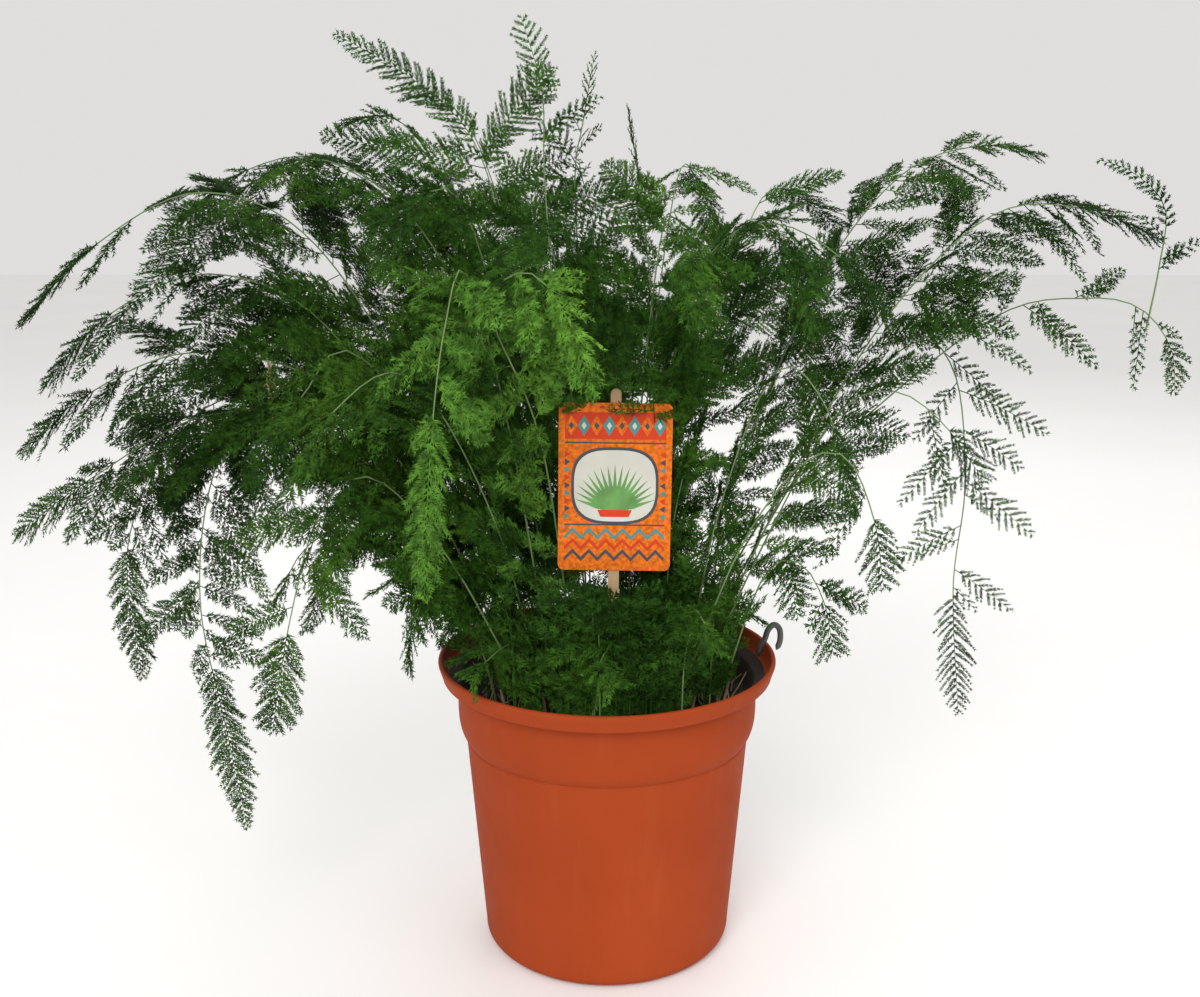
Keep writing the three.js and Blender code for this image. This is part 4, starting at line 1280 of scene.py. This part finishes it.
def build_stake(material):
    """A flat stake with softened edges, a round top and a pointed foot."""
    top = CARD_HEIGHT / 2 + STAKE_ABOVE_CARD
    bottom = SOIL_EDGE_HEIGHT - STAKE_DEPTH - CARD_CENTRE[2]
    w = STAKE_WIDTH / 2
    outline = [(0, bottom), (w, bottom + STAKE_POINT), *arc((0, top - w), w, 0, 180, 12),
               (-w, bottom + STAKE_POINT)]
    growth = Growth()
    add_plate(growth, outline, -GAP - STAKE_THICKNESS, -GAP, 0)
    stake = growth.build("label_stake_flat", [material])
    edge = stake.modifiers.new("edge", "BEVEL")
    edge.width = STAKE_BEVEL * MM
    edge.segments = 2
    apply_modifiers(stake)
    finish_piece(stake, "label_stake")


def build_hook(material):
    points = []
    for out, high in HOOK_POINTS:
        radius = RIM_RADIUS + out
        x, y = radius * math.cos(HOOK_ANGLE), radius * math.sin(HOOK_ANGLE)
        points.append([x, y, POT_HEIGHT + high])
    share = np.linspace(0, 1, 64)
    radii = HOOK_RADIUS * np.minimum(1, 0.35 + 12 * np.minimum(share, 1 - share))
    growth = Growth()
    growth.tube(Curve(points).point(share), radii, 20)
    finish_piece(growth.build("rim_hook_wire", [material], smooth=True), "rim_hook")


def build_stage():
    floor_mesh = bpy.data.meshes.new("floor")
    half = FLOOR_SIZE / 2
    corners = [(x, y, 0) for x, y in rectangle(-half, -half, half, half)]
    floor_mesh.from_pydata(corners, [], [(0, 1, 2, 3)])
    floor = bpy.data.objects.new("floor", floor_mesh)
    floor.data.materials.append(plain_material("pale_floor", (0.93, 0.93, 0.92), 0.85, 3.0, 0.01, 0.0))
    floor.location.z = -FLOOR_DROP
    bpy.context.scene.collection.objects.link(floor)
    floor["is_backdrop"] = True
    world = bpy.data.worlds.new("studio")
    world.use_nodes = True
    sky = world.node_tree.nodes["Background"]
    sky.inputs["Color"].default_value = SKY_COLOUR
    sky.inputs["Strength"].default_value = SKY_STRENGTH
    bpy.context.scene.world = world
    for name, place, size, power in LIGHTS:
        light = bpy.data.lights.new(name, "AREA")
        light.size = size
        light.energy = power
        lamp = bpy.data.objects.new(name, light)
        lamp.location = place
        aim = Vector(LIGHT_AIM) - lamp.location
        lamp.rotation_euler = aim.to_track_quat("-Z", "Y").to_euler()
        bpy.context.scene.collection.objects.link(lamp)


def build_camera():
    camera = bpy.data.cameras.new("camera")
    camera.sensor_width = 36
    camera.lens = FOCAL_PIXELS / IMAGE_WIDTH * camera.sensor_width
    camera.shift_x = SHIFT_PIXELS / IMAGE_WIDTH
    place = bpy.data.objects.new("camera", camera)
    place.location = CAMERA_PLACE
    place.rotation_euler = (math.pi / 2 - CAMERA_PITCH, 0, 0)
    bpy.context.scene.collection.objects.link(place)
    bpy.context.scene.camera = place


bpy.context.scene.view_settings.view_transform = "Standard"
build_camera()
build_stage()
foliage = [
    stem_material(),
    foliage_material("fern_green", DARK_GREENS),
    # The lighter copy is painted light, for fronds in full light.
    foliage_material("fern_green_painted_light", BRIGHT_GREENS),
    plain_material("withered_sprig", (0.6, 0.47, 0.27), 0.85, 120.0, 0.35),
]
for node_name, grown_stems in grow_frame_stems().items():
    build_stem(node_name, grown_stems, foliage)
build_shoots(foliage)
# The inside below the lip is near-black plastic: painted shade, with some soil stain.
build_pot(pot_material(), plain_material("shaded_stained_plastic", (0.026, 0.011, 0.006), 0.8, 30.0, 0.5))
build_soil(soil_material(), plain_material("dry_fibre", (0.36, 0.27, 0.15), 0.8, 60.0, 0.3))
build_label([
    plain_material("card_orange", (0.6, 0.127, 0.006), 0.45, 420.0, 0.3, gloss=0.15),
    plain_material("card_cream", (0.52, 0.51, 0.45), 0.42, 40.0, 0.05, gloss=0.15),
    plain_material("card_red", (0.52, 0.04, 0.01), 0.45, 40.0, 0.06, gloss=0.15),
    plain_material("card_teal", (0.03, 0.2, 0.19), 0.4, 40.0, 0.08),
    plain_material("card_dark", (0.03, 0.035, 0.04), 0.4, 40.0, 0.1),
    plain_material("card_green", (0.09, 0.24, 0.05), 0.42, 90.0, 0.2),
])
build_stake(plain_material("stake_beige", (0.42, 0.28, 0.14), 0.6, 30.0, 0.2))
build_hook(plain_material("hook_grey", (0.07, 0.073, 0.07), 0.45, 60.0, 0.2, gloss=0.3))

boxes = {"cad": cad_box, "visual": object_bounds()}
{name: [list(corner) for corner in box] for name, box in boxes.items()}
